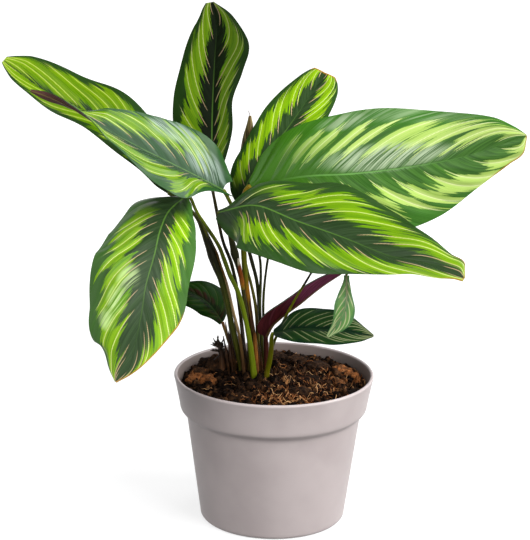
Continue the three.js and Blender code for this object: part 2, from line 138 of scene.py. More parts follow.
def place(x, y, z):
    # the three numbers as one point, at least one of them a wire
    wire = next(v for v in (x, y, z) if isinstance(v, Wire))
    return wire.node("CombineXYZ", None, {0: x, 1: y, 2: z})


def cloud(point, scale=1.0, detail=2.0, rough=0.5):
    values = {"Vector": point, "Scale": scale, "Detail": detail, "Roughness": rough}
    return point.node("TexNoise", None, values)


def finishMaterial(material, colour, roughness, height=None, relief=0.3, depth=0.3 * mm, **fixed):
    # colour and roughness may be wires; what is fixed is the same all over
    wire = Wire(material.node_tree)
    values = {"Base Color": colour, "Roughness": roughness}
    values.update({name.replace("_", " "): value for name, value in fixed.items()})
    if height is not None:
        values["Normal"] = wire.node("Bump", None, {"Strength": relief, "Distance": depth, "Height": height})
    shader = wire.node("BsdfPrincipled", None, values)
    wire.node("OutputMaterial", None, {"Surface": shader})
    return material


def makeMesh(name, points, faces, materials, slots=None, numbers=None, smooth=True):
    # points in millimetres; slots is each face's material, and numbers holds named values of each point
    mesh = bpy.data.meshes.new(name)
    faces = faces.tolist() if isinstance(faces, np.ndarray) else faces
    mesh.from_pydata((np.asarray(points) * mm).tolist(), [], faces)
    for material in materials:
        mesh.materials.append(material)
    if slots is not None:
        mesh.polygons.foreach_set("material_index", np.asarray(slots, np.int32))
    mesh.polygons.foreach_set("use_smooth", np.full(len(mesh.polygons), smooth))
    for title, values in (numbers or {}).items():
        layer = mesh.attributes.new(title, "FLOAT", "POINT")
        layer.data.foreach_set("value", np.asarray(values, np.float32).ravel())
    mesh.update()
    piece = bpy.data.objects.new(name, mesh)
    bpy.context.scene.collection.objects.link(piece)
    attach(piece, "root")
    return piece


def sharpen(mesh, edges):
    # keeps the given edges, as pairs of points, crisp in smooth shading
    wanted = {tuple(sorted(pair)) for pair in edges}
    layer = mesh.attributes.new("sharp_edge", "BOOLEAN", "EDGE")
    layer.data.foreach_set("value", [tuple(sorted(edge.vertices)) in wanted for edge in mesh.edges])


def gridFaces(rows, columns, start=0, flip=False, closed=False):
    # quads over rows by columns of points; closed joins the last column to the first
    i = np.arange(rows - 1)[:, None]
    j = np.arange(columns if closed else columns - 1)[None, :]
    a = start + i * columns + j
    b = start + i * columns + (j + 1) % columns
    quads = np.stack([a, b, b + columns, a + columns], axis=-1).reshape(-1, 4)
    return quads[:, ::-1] if flip else quads


def fan(middle, start, count, flip=False):
    # triangles from a middle point to a ring of points
    pairs = [(start + j, start + (j + 1) % count) for j in range(count)]
    return [[middle, b, a] if flip else [middle, a, b] for a, b in pairs]


def evenAngles(count):
    return np.linspace(0, 2 * np.pi, count, endpoint=False)


def rings(profile, angles):
    # points round the upright axis, one ring for each radius and height of the profile
    radii, heights = np.array(profile, float).T[..., None]
    x, y = radii * np.cos(angles), radii * np.sin(angles)
    return np.stack([x, y, np.broadcast_to(heights, x.shape)], -1).reshape(-1, 3)


def tube(centre, radii, first, second, angles):
    # rings of points along a line; first and second are the two ways across it
    return (
        centre[:, None, :]
        + (radii * np.cos(angles))[..., None] * first[:, None, :]
        + (radii * np.sin(angles))[..., None] * second[:, None, :]
    )


def smoothSpan(u, start, end, leave, arrive):
    # a curve from start to end that leaves and arrives with the given slopes, at shares u
    return (
        (2 * u**3 - 3 * u**2 + 1) * start
        + (3 * u**2 - 2 * u**3) * end
        + (u**3 - 2 * u**2 + u) * leave
        + (u**3 - u**2) * arrive
    )


def tracePath(points, perSpan=60):
    # a smooth path through the points, with its lengths
    points = np.array(points, float)
    padded = np.vstack([2 * points[0] - points[1], points, 2 * points[-1] - points[-2]])
    u = np.linspace(0, 1, perSpan, endpoint=False)[:, None]
    spans = []
    for i in range(len(points) - 1):
        before, start, end, after = padded[i:i + 4]
        spans.append(smoothSpan(u, start, end, 0.5 * (end - before), 0.5 * (after - start)))
    dense = np.vstack(spans + [points[-1:]])
    steps = np.linalg.norm(np.diff(dense[:, :3], axis=0), axis=1)
    return dense, np.concatenate([[0], np.cumsum(steps)])


def pathAt(path, shares):
    # the points at shares of a path's length
    dense, lengths = path
    wanted = np.asarray(shares) * lengths[-1]
    return np.stack([np.interp(wanted, lengths, column) for column in dense.T], axis=-1)


def pathAlong(path, shares, step=0.004):
    # the unit vectors along a path
    shares = np.asarray(shares)
    ahead = pathAt(path, np.minimum(shares + step, 1))[..., :3]
    behind = pathAt(path, np.maximum(shares - step, 0))[..., :3]
    return unit(ahead - behind)


def unit(vectors):
    return vectors / np.maximum(np.linalg.norm(vectors, axis=-1, keepdims=True), tiny)


def dot(first, second):
    return (first * second).sum(-1, keepdims=True)


# Leaves. A leaf's numbers: the rib's points from base to tip; half widths right and left of the rib at the
# stations; the way its upper face looks at shares of the length; fold and curl of each half in degrees;
# height and count of the edge waves; depth of the base lobes; and quilt, the swell between the side veins.
# wholeRight and wholeLeft are the half widths before a tip was trimmed. A sweep is how far the side veins
# lean to the tip, and how much more they do near it. linesRight and linesLeft are where on the rib the cream
# lines start.
stations = np.array([0, 0.06, 0.18, 0.32, 0.48, 0.64, 0.79, 0.91, 0.97, 1])
blade = {
    "thickness": 0.5, "leastHalf": 0.6, "lobeReach": 0.15, "ribHeight": 0.9, "ribHalf": 1.3,
    "rowStep": 1.15, "mostRows": 170, "columnStep": 1.4, "mostColumns": 30,
}


def atStations(values, t):
    # half widths at shares t of the length
    values = np.array(values, float)
    slopes = np.empty_like(values)
    slopes[1:-1] = (values[2:] - values[:-2]) / (stations[2:] - stations[:-2])
    slopes[0] = (values[1] - values[0]) / (stations[1] - stations[0])
    slopes[-1] = (values[-1] - values[-2]) / (stations[-1] - stations[-2])
    i = np.clip(np.searchsorted(stations, t) - 1, 0, len(stations) - 2)
    step = stations[i + 1] - stations[i]
    u = (t - stations[i]) / step
    return smoothSpan(u, values[i], values[i + 1], step * slopes[i], step * slopes[i + 1])


def facing(face, t):
    # the way the upper face looks at shares t of the length
    knots = np.array(face, float)
    ways = unit(knots[:, 1:])
    return np.stack([np.interp(t, knots[:, 0], ways[:, k]) for k in range(3)], axis=-1)


def ease(value, low, high):
    # a soft step from 0 to 1, for plain numbers
    share = np.clip((value - low) / (high - low), 0, 1)
    return share * share * (3 - 2 * share)


def veinStart(t, share, sweep, tipSweep):
    # where on the rib the side vein through a place starts; sweep is how far the veins lean to the tip
    low = np.zeros(np.broadcast(t, share).shape)
    high = np.ones_like(low)
    for _ in range(22):
        middle = (low + high) / 2
        lean = sweep * (0.3 + 0.7 * ease(middle, 0, 0.4) + tipSweep * ease(middle, 0.45, 0.9))
        tooFar = middle + lean * (0.5 * share + 0.5 * share**2) > t
        high = np.where(tooFar, middle, high)
        low = np.where(tooFar, low, middle)
    return (low + high) / 2


def lineCount(vein, lines):
    # counts the cream lines along the rib: line k lies at count k, and places between are shared out evenly
    lines = np.array(lines, float)
    leastGap = 0.08
    first = max(lines[1] - lines[0], leastGap)
    last = max(lines[-1] - lines[-2], leastGap)
    count = np.interp(vein, lines, np.arange(len(lines)))
    count = np.where(vein < lines[0], (vein - lines[0]) / first, count)
    return np.where(vein > lines[-1], len(lines) - 1 + (vein - lines[-1]) / last, count)


def leafPiece(name, leaf, node, top, under):
    rib = tracePath(leaf["rib"])
    length = rib[1][-1]
    widest = max(leaf["right"] + leaf["left"])
    rows = int(np.clip(length / blade["rowStep"], 40, blade["mostRows"]))
    half = int(np.clip(widest / blade["columnStep"], 10, blade["mostColumns"]))
    even = np.linspace(0, 1, rows + 1)
    t = 0.5 * even + 0.25 * (1 - np.cos(np.pi * even))  # closer rows at both ends
    outward = np.linspace(0, 1, half + 1) ** 1.15  # and closer columns by the rib
    u = np.concatenate([-outward[:0:-1], outward])
    along = pathAlong(rib, t)
    up = facing(leaf["face"], t)
    up = unit(up - along * dot(up, along))
    across = np.cross(along, up)
    side, share = np.sign(u), np.abs(u)[None, :]
    rightHalf = side[None, :] >= 0

    def halves(right, left):
        return np.where(rightHalf, atStations(right, t)[:, None], atStations(left, t)[:, None])

    width = np.maximum(halves(leaf["right"], leaf["left"]), blade["leastHalf"])
    whole = halves(leaf.get("wholeRight", leaf["right"]), leaf.get("wholeLeft", leaf["left"]))
    spread = share * width / np.maximum(whole, width)
    vein = np.where(
        rightHalf,
        veinStart(t[:, None], spread, *leaf["sweepRight"]),
        veinStart(t[:, None], spread, *leaf["sweepLeft"]),
    )
    phase = np.where(
        rightHalf,
        lineCount(vein, leaf["linesRight"]),
        lineCount(vein, leaf["linesLeft"]),
    )
    fold, curl = math.radians(leaf["fold"]), math.radians(leaf["curl"])
    end = fold + curl * share
    out = width * (np.sin(end) - math.sin(fold)) / curl
    rise = width * (math.cos(fold) - np.cos(end)) / curl
    swell = np.sqrt(np.maximum(np.sin(np.pi * t), 0))[:, None] * share**2 * leaf["wave"]
    ripple = swell * np.sin(2 * np.pi * leaf["waves"] * t[:, None] + np.where(side > 0, 1.3, 0)[None, :])
    window = np.clip(4.5 * share * (1 - share), 0, 1) * np.clip(width / 12, 0, 1)
    quilt = leaf["quilt"] * window * (0.5 - 0.5 * np.cos(2 * np.pi * phase))
    lobe = leaf["lobe"] * np.maximum(0, 1 - t / blade["lobeReach"])[:, None] ** 2 * share**2
    upper = (
        pathAt(rib, t)[:, None, :]
        + (side[None, :] * out)[..., None] * across[:, None, :]
        + (rise + ripple + quilt)[..., None] * up[:, None, :]
        - lobe[..., None] * along[:, None, :]
    )
    stepAlong = np.gradient(upper, axis=0)
    stepAcross = np.gradient(upper, axis=1)
    normal = unit(np.cross(stepAcross, stepAlong))
    thick = blade["thickness"] * np.clip(2.2 - 1.6 * share, 0.6, 1)  # thinner towards the edge
    ribHeight = blade["ribHeight"] * (1 - 0.8 * t)[:, None] * np.clip(width / 6, 0, 1)
    ridge = ribHeight * np.exp(-((out / (blade["ribHalf"] - 0.8 * t[:, None])) ** 2))
    lower = upper - (thick + ridge)[..., None] * normal

    # millimetres across the veins from one pair of lines to the next
    phaseAlong, phaseAcross = np.gradient(phase, axis=0), np.gradient(phase, axis=1)
    alongAlong = (stepAlong**2).sum(-1)
    alongAcross = (stepAlong * stepAcross).sum(-1)
    acrossAcross = (stepAcross**2).sum(-1)
    slope = (
        phaseAlong**2 * acrossAcross
        - 2 * phaseAlong * phaseAcross * alongAcross
        + phaseAcross**2 * alongAlong
    )
    area = np.maximum(alongAlong * acrossAcross - alongAcross**2, tiny)
    pitch = np.sqrt(area / np.maximum(slope, tiny))
    numbers = {
        "along": np.broadcast_to(t[:, None], width.shape),
        "spread": spread * side[None, :],
        "vein": vein * length,
        "phase": phase,
        "pitch": np.clip(pitch, 1, 60),
        "offRib": share * width,
        "offEdge": np.minimum((1 - share) * width, ((1 - t) * length)[:, None]),
        "trimmed": np.clip(1.25 - 1.25 * width / np.maximum(whole, width), 0, 1) * 4,
    }
    numbers = {title: np.concatenate([values.ravel()] * 2) for title, values in numbers.items()}
    rowCount, columnCount = width.shape
    count = rowCount * columnCount
    grid = np.arange(count).reshape(rowCount, columnCount)
    ring = np.concatenate([grid[0, :-1], grid[:-1, -1], grid[-1, :0:-1], grid[:0:-1, 0]])
    following = np.roll(ring, -1)
    rim = np.stack([ring, ring + count, following + count, following], axis=-1)
    topFaces = gridFaces(rowCount, columnCount)
    underFaces = gridFaces(rowCount, columnCount, start=count, flip=True)
    faces = np.vstack([topFaces, underFaces, rim])
    slots = np.repeat([0, 1, 0], [len(topFaces), len(underFaces), len(rim)])
    points = np.vstack([upper.reshape(-1, 3), lower.reshape(-1, 3)])
    piece = makeMesh(name, points, faces, [top, under], slots, numbers)
    sharpen(piece.data, list(zip(ring, following)) + list(zip(ring + count, following + count)))
    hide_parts(node)
    return piece


def leafTop(name, look):
    # dark feathered middle, a lime band in each half with cream lines, a green margin and a fine rib
    material, wire = startMaterial(name)
    spread, vein, phase, pitch = attributes(wire, "spread", "vein", "phase", "pitch")
    along, offRib, offEdge, trimmed = attributes(wire, "along", "offRib", "offEdge", "trimmed")
    share = abs(spread)
    side = spread.maths("SIGN", spread)
    nearest = phase.maths("ROUND", phase)
    toLine = abs(phase - nearest) * pitch  # millimetres to the nearest cream line
    gapCell = phase.maths("FLOOR", phase)

    # strands run along the side veins: thin across them, long beside them
    thin = cloud(place(vein * 2.6, share * 2.2, side * 9.0))
    cell = vein * 0.6
    tooth = cloud(place(cell.maths("FLOOR", cell) * 3.7, side * 17.0, look["own"]), detail=0.0)
    strand = cloud(place(vein, share * 1.6, side * 9.0 + 30.0), detail=3.0)
    broad = cloud(place(vein * 0.28, share * 1.8, side * 5.0 + 40.0))
    lineOwn = cloud(place(nearest * 7.3, side * 11.0, look["own"]), detail=0.0)
    gapOwn = cloud(place(gapCell * 5.7, side * 13.0, look["own"] + 4.0), detail=0.0)
    jag = (strand - 0.5) * 0.5 + (thin - 0.5) * 0.35 + (broad - 0.5) * 0.7 + (tooth - 0.5) * 0.8
    jag = jag * look["feather"]

    # the lime band draws in on both sides between the lines
    notch = between(toLine, look["notchFrom"], look["notchTo"]) * between(gapOwn, 0.25, 0.6, 0.45, 1.15)
    inner = look["inner"] + notch * look["notchIn"] + jag + (lineOwn - 0.5) * 0.14
    outer = look["outer"] - notch * look["notchOut"] - jag + (lineOwn - 0.5) * 0.1
    soft = look["soft"]
    band = between(share, inner - soft, inner + soft) * (1 - between(share, outer - soft, outer + soft))
    start, startEnd = look["bandStart"]
    band = band * between(along, start, startEnd)
    late, lateEnd = look["bandStartLeft"]
    band = band * (1 - (1 - between(along, late, lateEnd)) * between(spread, 0.0, -0.05))
    split = between(notch + (strand - 0.5) * 0.8, look["split"], look["split"] + 0.15)
    split = split * (1 - between(spread, 0.0, 0.1) * look["wholeBandRight"])
    band = band * (1 - split)

    # lime, brighter by the lines
    glow = 1 - between(toLine, 0.4, 2.4)
    bright = glow * 0.3 + (strand - 0.5) * 1.3 + (thin - 0.5) * 1.2 + (broad - 0.5) * 0.9 + look["bright"]
    bright = bright.maths("MINIMUM", bright.maths("MAXIMUM", bright, 0.0), 1.0)
    bandColour = mixColours(bright, look["bandDark"], look["band"])
    darkStrand = between(thin + (strand - 0.5) * 0.7, 0.36, 0.26)
    darkStrand = darkStrand * between(share, inner + 0.1, inner + 0.3)
    bandColour = mixColours(darkStrand * (1 - glow) * look["strandShow"], bandColour, look["margin"])

    # the dark middle and the margin
    heart = mixColours(between(broad + (strand - 0.5) * 0.7, 0.3, 0.75), look["dark"], look["darkLight"])
    marginShare = between(share, look["outer"] - 0.25, look["outer"] + 0.05)
    ground = mixColours(marginShare * look["marginMix"], heart, look["margin"])
    colour = mixColours(band, ground, bandColour)

    # cream lines, pinkish where they stand in the dark middle
    lineFrom = look["lineIn"] + (lineOwn - 0.5) * 0.12
    lineIn = between(share, lineFrom, lineFrom + 0.1)
    lineTo = look["lineOut"] + (lineOwn - 0.5) * 0.2
    lineOut = 1 - between(share, lineTo - 0.12, lineTo)
    halfWidth = look["lineWidth"] * (lineIn * 0.75 + 0.25) * (lineOut * 0.6 + 0.4)
    line = 1 - between(toLine, halfWidth - 0.1, halfWidth + 0.18)
    line = line * between(lineIn, 0.0, 0.25) * lineOut
    line = line * between(along, look["lineStart"], look["lineStart"] + 0.04)
    lineColour = mixColours(between(share, inner - 0.06, inner + 0.12), look["pink"], look["cream"])
    colour = mixColours(line * look["lineShow"], colour, lineColour)

    # patches between the side veins, a pale painted sheen on some leaves and real colour on others: along,
    # across, reach along, reach across, strength
    for t, s, reachT, reachS, strength in look["patchesAndSheens"]:
        offT, offS = along - t, spread - s
        far = offT * offT * (1 / reachT**2) + offS * offS * (1 / reachS**2)
        # one patch's share: a painted sheen on some leaves, a real colour patch on others
        patchAndSheen = (1 - between(far, 0.0, 1.0)) * between(strand + (broad - 0.5) * 0.8, 0.3, 0.62)
        patchAndSheen = patchAndSheen * between(toLine, 0.2, 1.6, 0.35, 1.0)
        colour = mixColours(patchAndSheen * strength, colour, look["patchAndSheen"])

    # the rib, the shaded half, painted shade that darkens the base, and the dry edge of a trimmed tip
    ribHalf = look["ribWidth"] * (1.1 - along) * 0.4
    ribLine = 1 - between(offRib, ribHalf, ribHalf + 0.35)
    colour = mixColours(ribLine * look["ribShow"] * between(along, look["ribEnd"], 0.2), colour, look["rib"])
    colour = mixColours(between(spread, 0.0, 0.5) * look["dimRight"], colour, look["dim"])
    # painted shade at the base of the blade
    colour = mixColours(between(along, look["baseShadeReach"], 0.06) * look["baseShadeMix"], colour, look["base"])
    dry = between(trimmed, 0.1, 0.4) * between(along, look["dryFrom"], look["dryFrom"] + 0.08)
    dry = dry.maths("MAXIMUM", dry, between(along, 0.97, 0.985) * look["dryTip"])
    dry = (1 - between(offEdge + (strand - 0.5) * 1.4, 0.5, 1.3)) * dry
    colour = mixColours(dry * 0.85, colour, look["dry"])

    # the surface sinks at the lines and swells between them
    offMiddle = gapCell - phase + 0.5
    pleat = offMiddle * offMiddle * pitch * look["pleat"]
    height = between(toLine, 0.0, 1.4) * 0.4 + thin * 0.3 + strand * 0.5 + ribLine * 0.5 - pleat
    roughness = look["gloss"] + (strand - 0.5) * 0.25 + (thin - 0.5) * 0.12
    return finishMaterial(
        material, colour, roughness, height, relief=0.4, depth=0.4 * mm, Specular_IOR_Level=look["shine"]
    )


def leafUnder(name, look):
    # the back of a blade, which may differ in colour between base and tip
    material, wire = startMaterial(name)
    vein, spread, phase, pitch = attributes(wire, "vein", "spread", "phase", "pitch")
    offRib, along = attributes(wire, "offRib", "along")
    share = abs(spread)
    side = spread.maths("SIGN", spread)
    fine = cloud(place(vein * 1.5, share * 3.0, side * 9.0), detail=3.0)
    broad = cloud(place(vein * 0.3, share * 2.0, side * 5.0))
    toLine = abs(phase - phase.maths("ROUND", phase)) * pitch
    line = (1 - between(toLine, 0.3, 0.9)) * between(share, 0.08, 0.3)
    shade = between(broad + (fine - 0.5) * 0.7, 0.25, 0.8)
    baseColour = mixColours(shade, look["dark"], look["light"])
    tipColour = mixColours(shade, look["tipDark"], look["tipLight"])
    colour = mixColours(between(along, 0.3, 0.8), baseColour, tipColour)
    colour = mixColours(line * look["lineShow"], colour, look["line"])
    ribLine = 1 - between(offRib, 0.3, 1.5 - along)
    colour = mixColours(ribLine * 0.7, colour, look["rib"])
    height = fine * 0.5 + line * 0.6
    roughness = 0.5 + (fine - 0.5) * 0.25
    return finishMaterial(
        material, colour, roughness, height, relief=0.4, depth=0.35 * mm, Specular_IOR_Level=look["shine"]
    )


commonLook = {
    # the lime band, and how far its edges draw in between the lines
    "inner": 0.31, "outer": 0.78, "notchIn": 0.13, "notchOut": 0.15, "notchFrom": 1.6, "notchTo": 5.5,
    "feather": 0.55, "soft": 0.01, "bandStart": (0.06, 0.16), "bandStartLeft": (0.0, 0.02), "split": 1.3,
    "wholeBandRight": 0.0, "bright": 0.3, "strandShow": 0.75,
    # the cream lines, the margin, the rib and the surface
    "lineIn": 0.1, "lineOut": 0.88, "lineWidth": 0.21, "lineShow": 0.9, "lineStart": 0.08,
    "marginMix": 0.6, "ribWidth": 1.1, "ribShow": 0.85, "ribEnd": 0.95,
    "gloss": 0.32, "shine": 0.15, "pleat": 0.15,
    # the base darkened with painted shade, the shaded half, the dry edges, and the patches, painted sheen on
    # some leaves and real colour on others
    "baseShadeMix": 0.0, "baseShadeReach": 0.34, "dimRight": 0.0, "dryFrom": 0.8, "dryTip": 0.0, "patchesAndSheens": [],
    # colours, and the tone that makes them all brighter or darker
    "tone": 1.0, "band": srgb(146, 182, 24), "bandDark": srgb(76, 126, 3), "dark": srgb(34, 54, 26),
    "darkLight": srgb(50, 72, 40), "margin": srgb(42, 78, 22), "cream": srgb(210, 218, 142),
    "pink": srgb(196, 168, 130), "rib": srgb(84, 124, 48), "dry": srgb(160, 112, 30),
    # dim and base are painted shade colours; the last colour is the painted sheen, and a leaf may give its
    # own real patch colour instead
    "dim": srgb(24, 40, 14), "base": srgb(50, 84, 14), "patchAndSheen": srgb(196, 214, 204),
}
commonUnder = {
    "lineShow": 0.3, "dark": srgb(56, 22, 30), "light": srgb(94, 44, 54), "line": srgb(124, 84, 78),
    "tipDark": srgb(40, 15, 17), "tipLight": srgb(72, 30, 32), "rib": srgb(104, 84, 50), "shine": 0.12,
}
under = leafUnder("leafUnderMaroon", commonUnder)
underFolded = leafUnder("leafUnderFolded", {
    **commonUnder, "dark": srgb(50, 8, 14), "light": srgb(78, 22, 28), "tipDark": srgb(92, 32, 60),
    "tipLight": srgb(138, 68, 100), "line": srgb(112, 52, 66),
})
underRolled = leafUnder("leafUnderRolled", {
    **commonUnder, "dark": srgb(44, 38, 10), "light": srgb(90, 84, 28), "tipDark": srgb(38, 32, 12),
    "tipLight": srgb(84, 74, 30), "line": srgb(150, 136, 84), "lineShow": 0.6,
})
underTurned = leafUnder("leafUnderTurned", {
    **commonUnder, "tipDark": srgb(30, 14, 8), "tipLight": srgb(52, 27, 18),
})
undersides = {"c": underRolled, "f": underTurned, "l": underFolded}

leafA = {
    "rib": [[-44, 16, 232], [-45, 26, 258], [-45, 38, 287], [-44, 50, 317], [-43, 58, 340], [-46, 60, 356]],
    "right": [1, 4, 10.5, 14.5, 14, 20.5, 23.5, 12.5, 5, 1],
    "left": [1, 8, 20, 27, 28, 24, 19.5, 14, 9, 5],
    "face": [[0, 0.2, -0.9, 0.35], [1, 0.2, -0.9, 0.4]],
    "fold": 14, "curl": -24, "wave": 1.5, "waves": 2.5, "lobe": 0, "quilt": 0.5,
    "sweepRight": (0.5, 0), "sweepLeft": (0.5, 0),
    "linesRight": [0.1, 0.16, 0.24, 0.31, 0.43, 0.52, 0.68, 0.84],
    "linesLeft": [0.14, 0.19, 0.3, 0.38, 0.53, 0.61, 0.77, 0.9],
    "look": {"tone": 0.42, "shine": 0.02, "gloss": 0.5, "dimRight": 0.5, "dark": srgb(8, 18, 2),
             "darkLight": srgb(16, 30, 8), "lineShow": 0.75},
}
leafB = {
    "rib": [[-27, 24, 220], [-18, 32, 237], [-7, 42, 252], [6, 54, 266], [20, 68, 284], [34, 79, 304]],
    "right": [2, 8, 16, 21, 23, 22, 20.5, 18, 13.5, 9],
    "left": [1, 9, 16, 19, 22, 23, 21, 16, 12, 9],
    "face": [[0, -0.3, -0.8, 0.5], [1, -0.3, -0.8, 0.5]],
    "fold": 14, "curl": -24, "wave": 1.5, "waves": 2, "lobe": 0, "quilt": 0.5,
    "sweepRight": (0.45, 0), "sweepLeft": (0.45, 0),
    "linesRight": [0.12, 0.2, 0.32, 0.42, 0.56, 0.62, 0.75, 0.84],
    "linesLeft": [0.11, 0.18, 0.26, 0.39, 0.47, 0.63, 0.69, 0.84, 0.92],
    # the dark base colour on the next line is a painted shadow
    "look": {"shine": 0.02, "bright": 0.4, "base": srgb(24, 40, 10), "baseShadeMix": 0.6, "dryTip": 1.0,
             "cream": srgb(190, 212, 118), "lineShow": 0.8},
}
leafC = {
    "rib": [[-22, 46, 219], [-21, 54, 237], [-20, 59, 254], [-19, 62, 266], [-19, 64, 275]],
    "right": [2, 5, 8, 9.5, 10, 8.5, 6.5, 3.5, 1.8, 1],
    "left": [2, 5, 8, 9.5, 10, 8.5, 6.5, 3.5, 1.8, 1],
    "face": [[0, -0.1, 0.9, 0.3], [1, -0.1, 0.9, 0.3]],
    "fold": 10, "curl": 100, "wave": 0, "waves": 1, "lobe": 0, "quilt": 0.1,
    "sweepRight": (0.5, 0), "sweepLeft": (0.5, 0),
    "linesRight": [0.1, 0.25, 0.4, 0.6, 0.8],
    "linesLeft": [0.12, 0.3, 0.45, 0.65, 0.85],
    "look": {},
}
leafD = {
    "rib": [[-18, 8, 237], [18, 8, 244], [54, 6, 247], [91, 2, 253], [127, -4, 262], [167, -14, 279]],
    "right": [2, 13, 27, 38, 43, 37, 23, 14.5, 10.5, 1],
    "left": [4, 21, 37, 45, 45, 39.4, 30.6, 19.5, 8.5, 1],
    "wholeRight": [2, 13, 27, 38, 43, 41, 33, 22, 15, 1],
    "face": [[0, 0, -0.85, 0.5], [1, -0.1, -0.93, 0.3]],
    "fold": 10, "curl": -30, "wave": 2.5, "waves": 2.5, "lobe": 0, "quilt": 0.9,
    "sweepRight": (0.35, 0), "sweepLeft": (0.48, 0.6),
    "linesRight": [0.2, 0.3, 0.4, 0.48, 0.6, 0.66, 0.77, 0.88],
    "linesLeft": [0.07, 0.12, 0.16, 0.22, 0.27, 0.35, 0.48, 0.54, 0.64, 0.69, 0.85],
    "look": {"band": srgb(198, 220, 130), "bandDark": srgb(162, 198, 84), "dark": srgb(50, 90, 32),
             "darkLight": srgb(76, 122, 46), "margin": srgb(62, 124, 34), "cream": srgb(230, 240, 176),
             "pink": srgb(214, 228, 150), "rib": srgb(112, 166, 84), "base": srgb(48, 92, 8),
             # the first colour on the next line is a painted sheen, drawn in the patches further down
             "patchAndSheen": srgb(202, 218, 184), "tone": 0.78, "gloss": 0.3, "shine": 0.1, "pleat": 0.6,
             # painted shade darkens this leaf's base, in the base colour given above
             "strandShow": 0.45, "lineShow": 0.8, "ribWidth": 1.2, "baseShadeMix": 0.95, "baseShadeReach": 0.42,
             "inner": 0.27, "notchIn": 0.17, "notchOut": 0.2, "notchFrom": 1.2, "notchTo": 3.6,
             "split": 0.68, "wholeBandRight": 1.0, "bandStart": (0.1, 0.2),
             "patchesAndSheens": [(0.5, -0.2, 0.3, 0.26, 0.75), (0.34, -0.84, 0.12, 0.18, 0.5),
                        (0.6, -0.95, 0.3, 0.25, 0.3)]},
}
leafE = {
    "rib": [[-39, -12, 223], [-14, -24, 231], [13, -40, 225], [44, -56, 218], [73, -70, 210], [96, -80, 208],
            [121, -90.5, 201]],
    "right": [5, 22.5, 36.5, 38, 34.5, 24.5, 11.5, 8, 4, 3],
    "left": [2, 5, 27, 40, 42, 37, 25.5, 15.5, 12.5, 1],
    "wholeLeft": [2, 5, 27, 40, 42, 37, 26, 17, 14, 1],
    "wholeRight": [5, 22.5, 36.5, 38, 35, 28, 17, 11, 6, 3],
    "face": [[0, 0.1, -0.64, 0.76], [1, 0.1, -0.64, 0.76]],
    "fold": 10, "curl": -24, "wave": 2, "waves": 3, "lobe": 1.5, "quilt": 0.6,
    "sweepRight": (0.5, 2.0), "sweepLeft": (0.5, 0.6),
    "linesRight": [0.08, 0.11, 0.16, 0.19, 0.26, 0.33, 0.47, 0.54, 0.68, 0.83],
    "linesLeft": [0.15, 0.21, 0.25, 0.32, 0.39, 0.53, 0.6, 0.74, 0.85],
    "look": {"tone": 0.8, "dryFrom": 0.9, "bandStartLeft": (0.1, 0.26), "lineShow": 0.8},
}
leafF = {
    "rib": [[-36, -6, 237], [-52, -16, 248], [-74, -32, 263], [-89, -42, 273], [-111, -54, 288],
            [-136, -64, 306], [-158, -66, 315]],
    "right": [12, 34.5, 42, 39, 29, 19, 8, 4.5, 2.2, 1],
    "left": [1, 6, 20.5, 37.5, 30, 14, 8, 4.5, 2.2, 1],
    "face": [[0, 0.1, -0.55, 0.83], [0.66, 0.1, -0.5, 0.85], [0.84, 0, 0.3, 0.95], [0.95, 0, 0.95, 0.3],
             [1, 0, 0.95, 0.3]],
    "fold": 18, "curl": -20, "wave": 1.5, "waves": 2, "lobe": 9, "quilt": 0.6,
    "sweepRight": (0.55, 2.0), "sweepLeft": (0.7, 2.0),
    "linesRight": [0.01, 0.06, 0.1, 0.18, 0.24, 0.36, 0.47, 0.6, 0.78],
    "linesLeft": [0.05, 0.1, 0.18, 0.26, 0.43, 0.5, 0.64, 0.8],
    "look": {"tone": 0.68, "gloss": 0.24, "shine": 0.1, "pleat": 0.6, "dark": srgb(30, 64, 30),
             "darkLight": srgb(44, 84, 46), "margin": srgb(44, 92, 34), "outer": 0.86,
             # painted sheen patches
             "patchesAndSheens": [(0.28, 0.75, 0.2, 0.33, 0.6), (0.1, 0.35, 0.14, 0.4, 0.55)]},
}
leafG = {
    "rib": [[-74, 2, 233], [-85, 6, 253], [-102, 14, 269], [-123, 24, 281], [-151, 36, 291], [-171, 44, 301],
            [-191, 48, 315]],
    "right": [1, 11, 19, 21.5, 24.5, 24, 21, 16, 9, 4],
    "left": [1, 7, 13, 15.5, 15.5, 13, 10.5, 9, 5, 2],
    "face": [[0, 0.1, -0.7, 0.7], [1, 0.1, -0.7, 0.7]],
    "fold": 18, "curl": -20, "wave": 2, "waves": 2.5, "lobe": 0, "quilt": 0.5,
    "sweepRight": (0.5, 1.5), "sweepLeft": (0.4, 1.0),
    "linesRight": [0.06, 0.14, 0.22, 0.27, 0.34, 0.45, 0.58, 0.64, 0.8],
    "linesLeft": [0.1, 0.2, 0.34, 0.45, 0.6, 0.7, 0.9],
    "look": {"tone": 0.66, "shine": 0.06, "inner": 0.03, "lineIn": 0.04, "ribShow": 0.3, "outer": 0.82,
             "cream": srgb(194, 210, 96)},
}
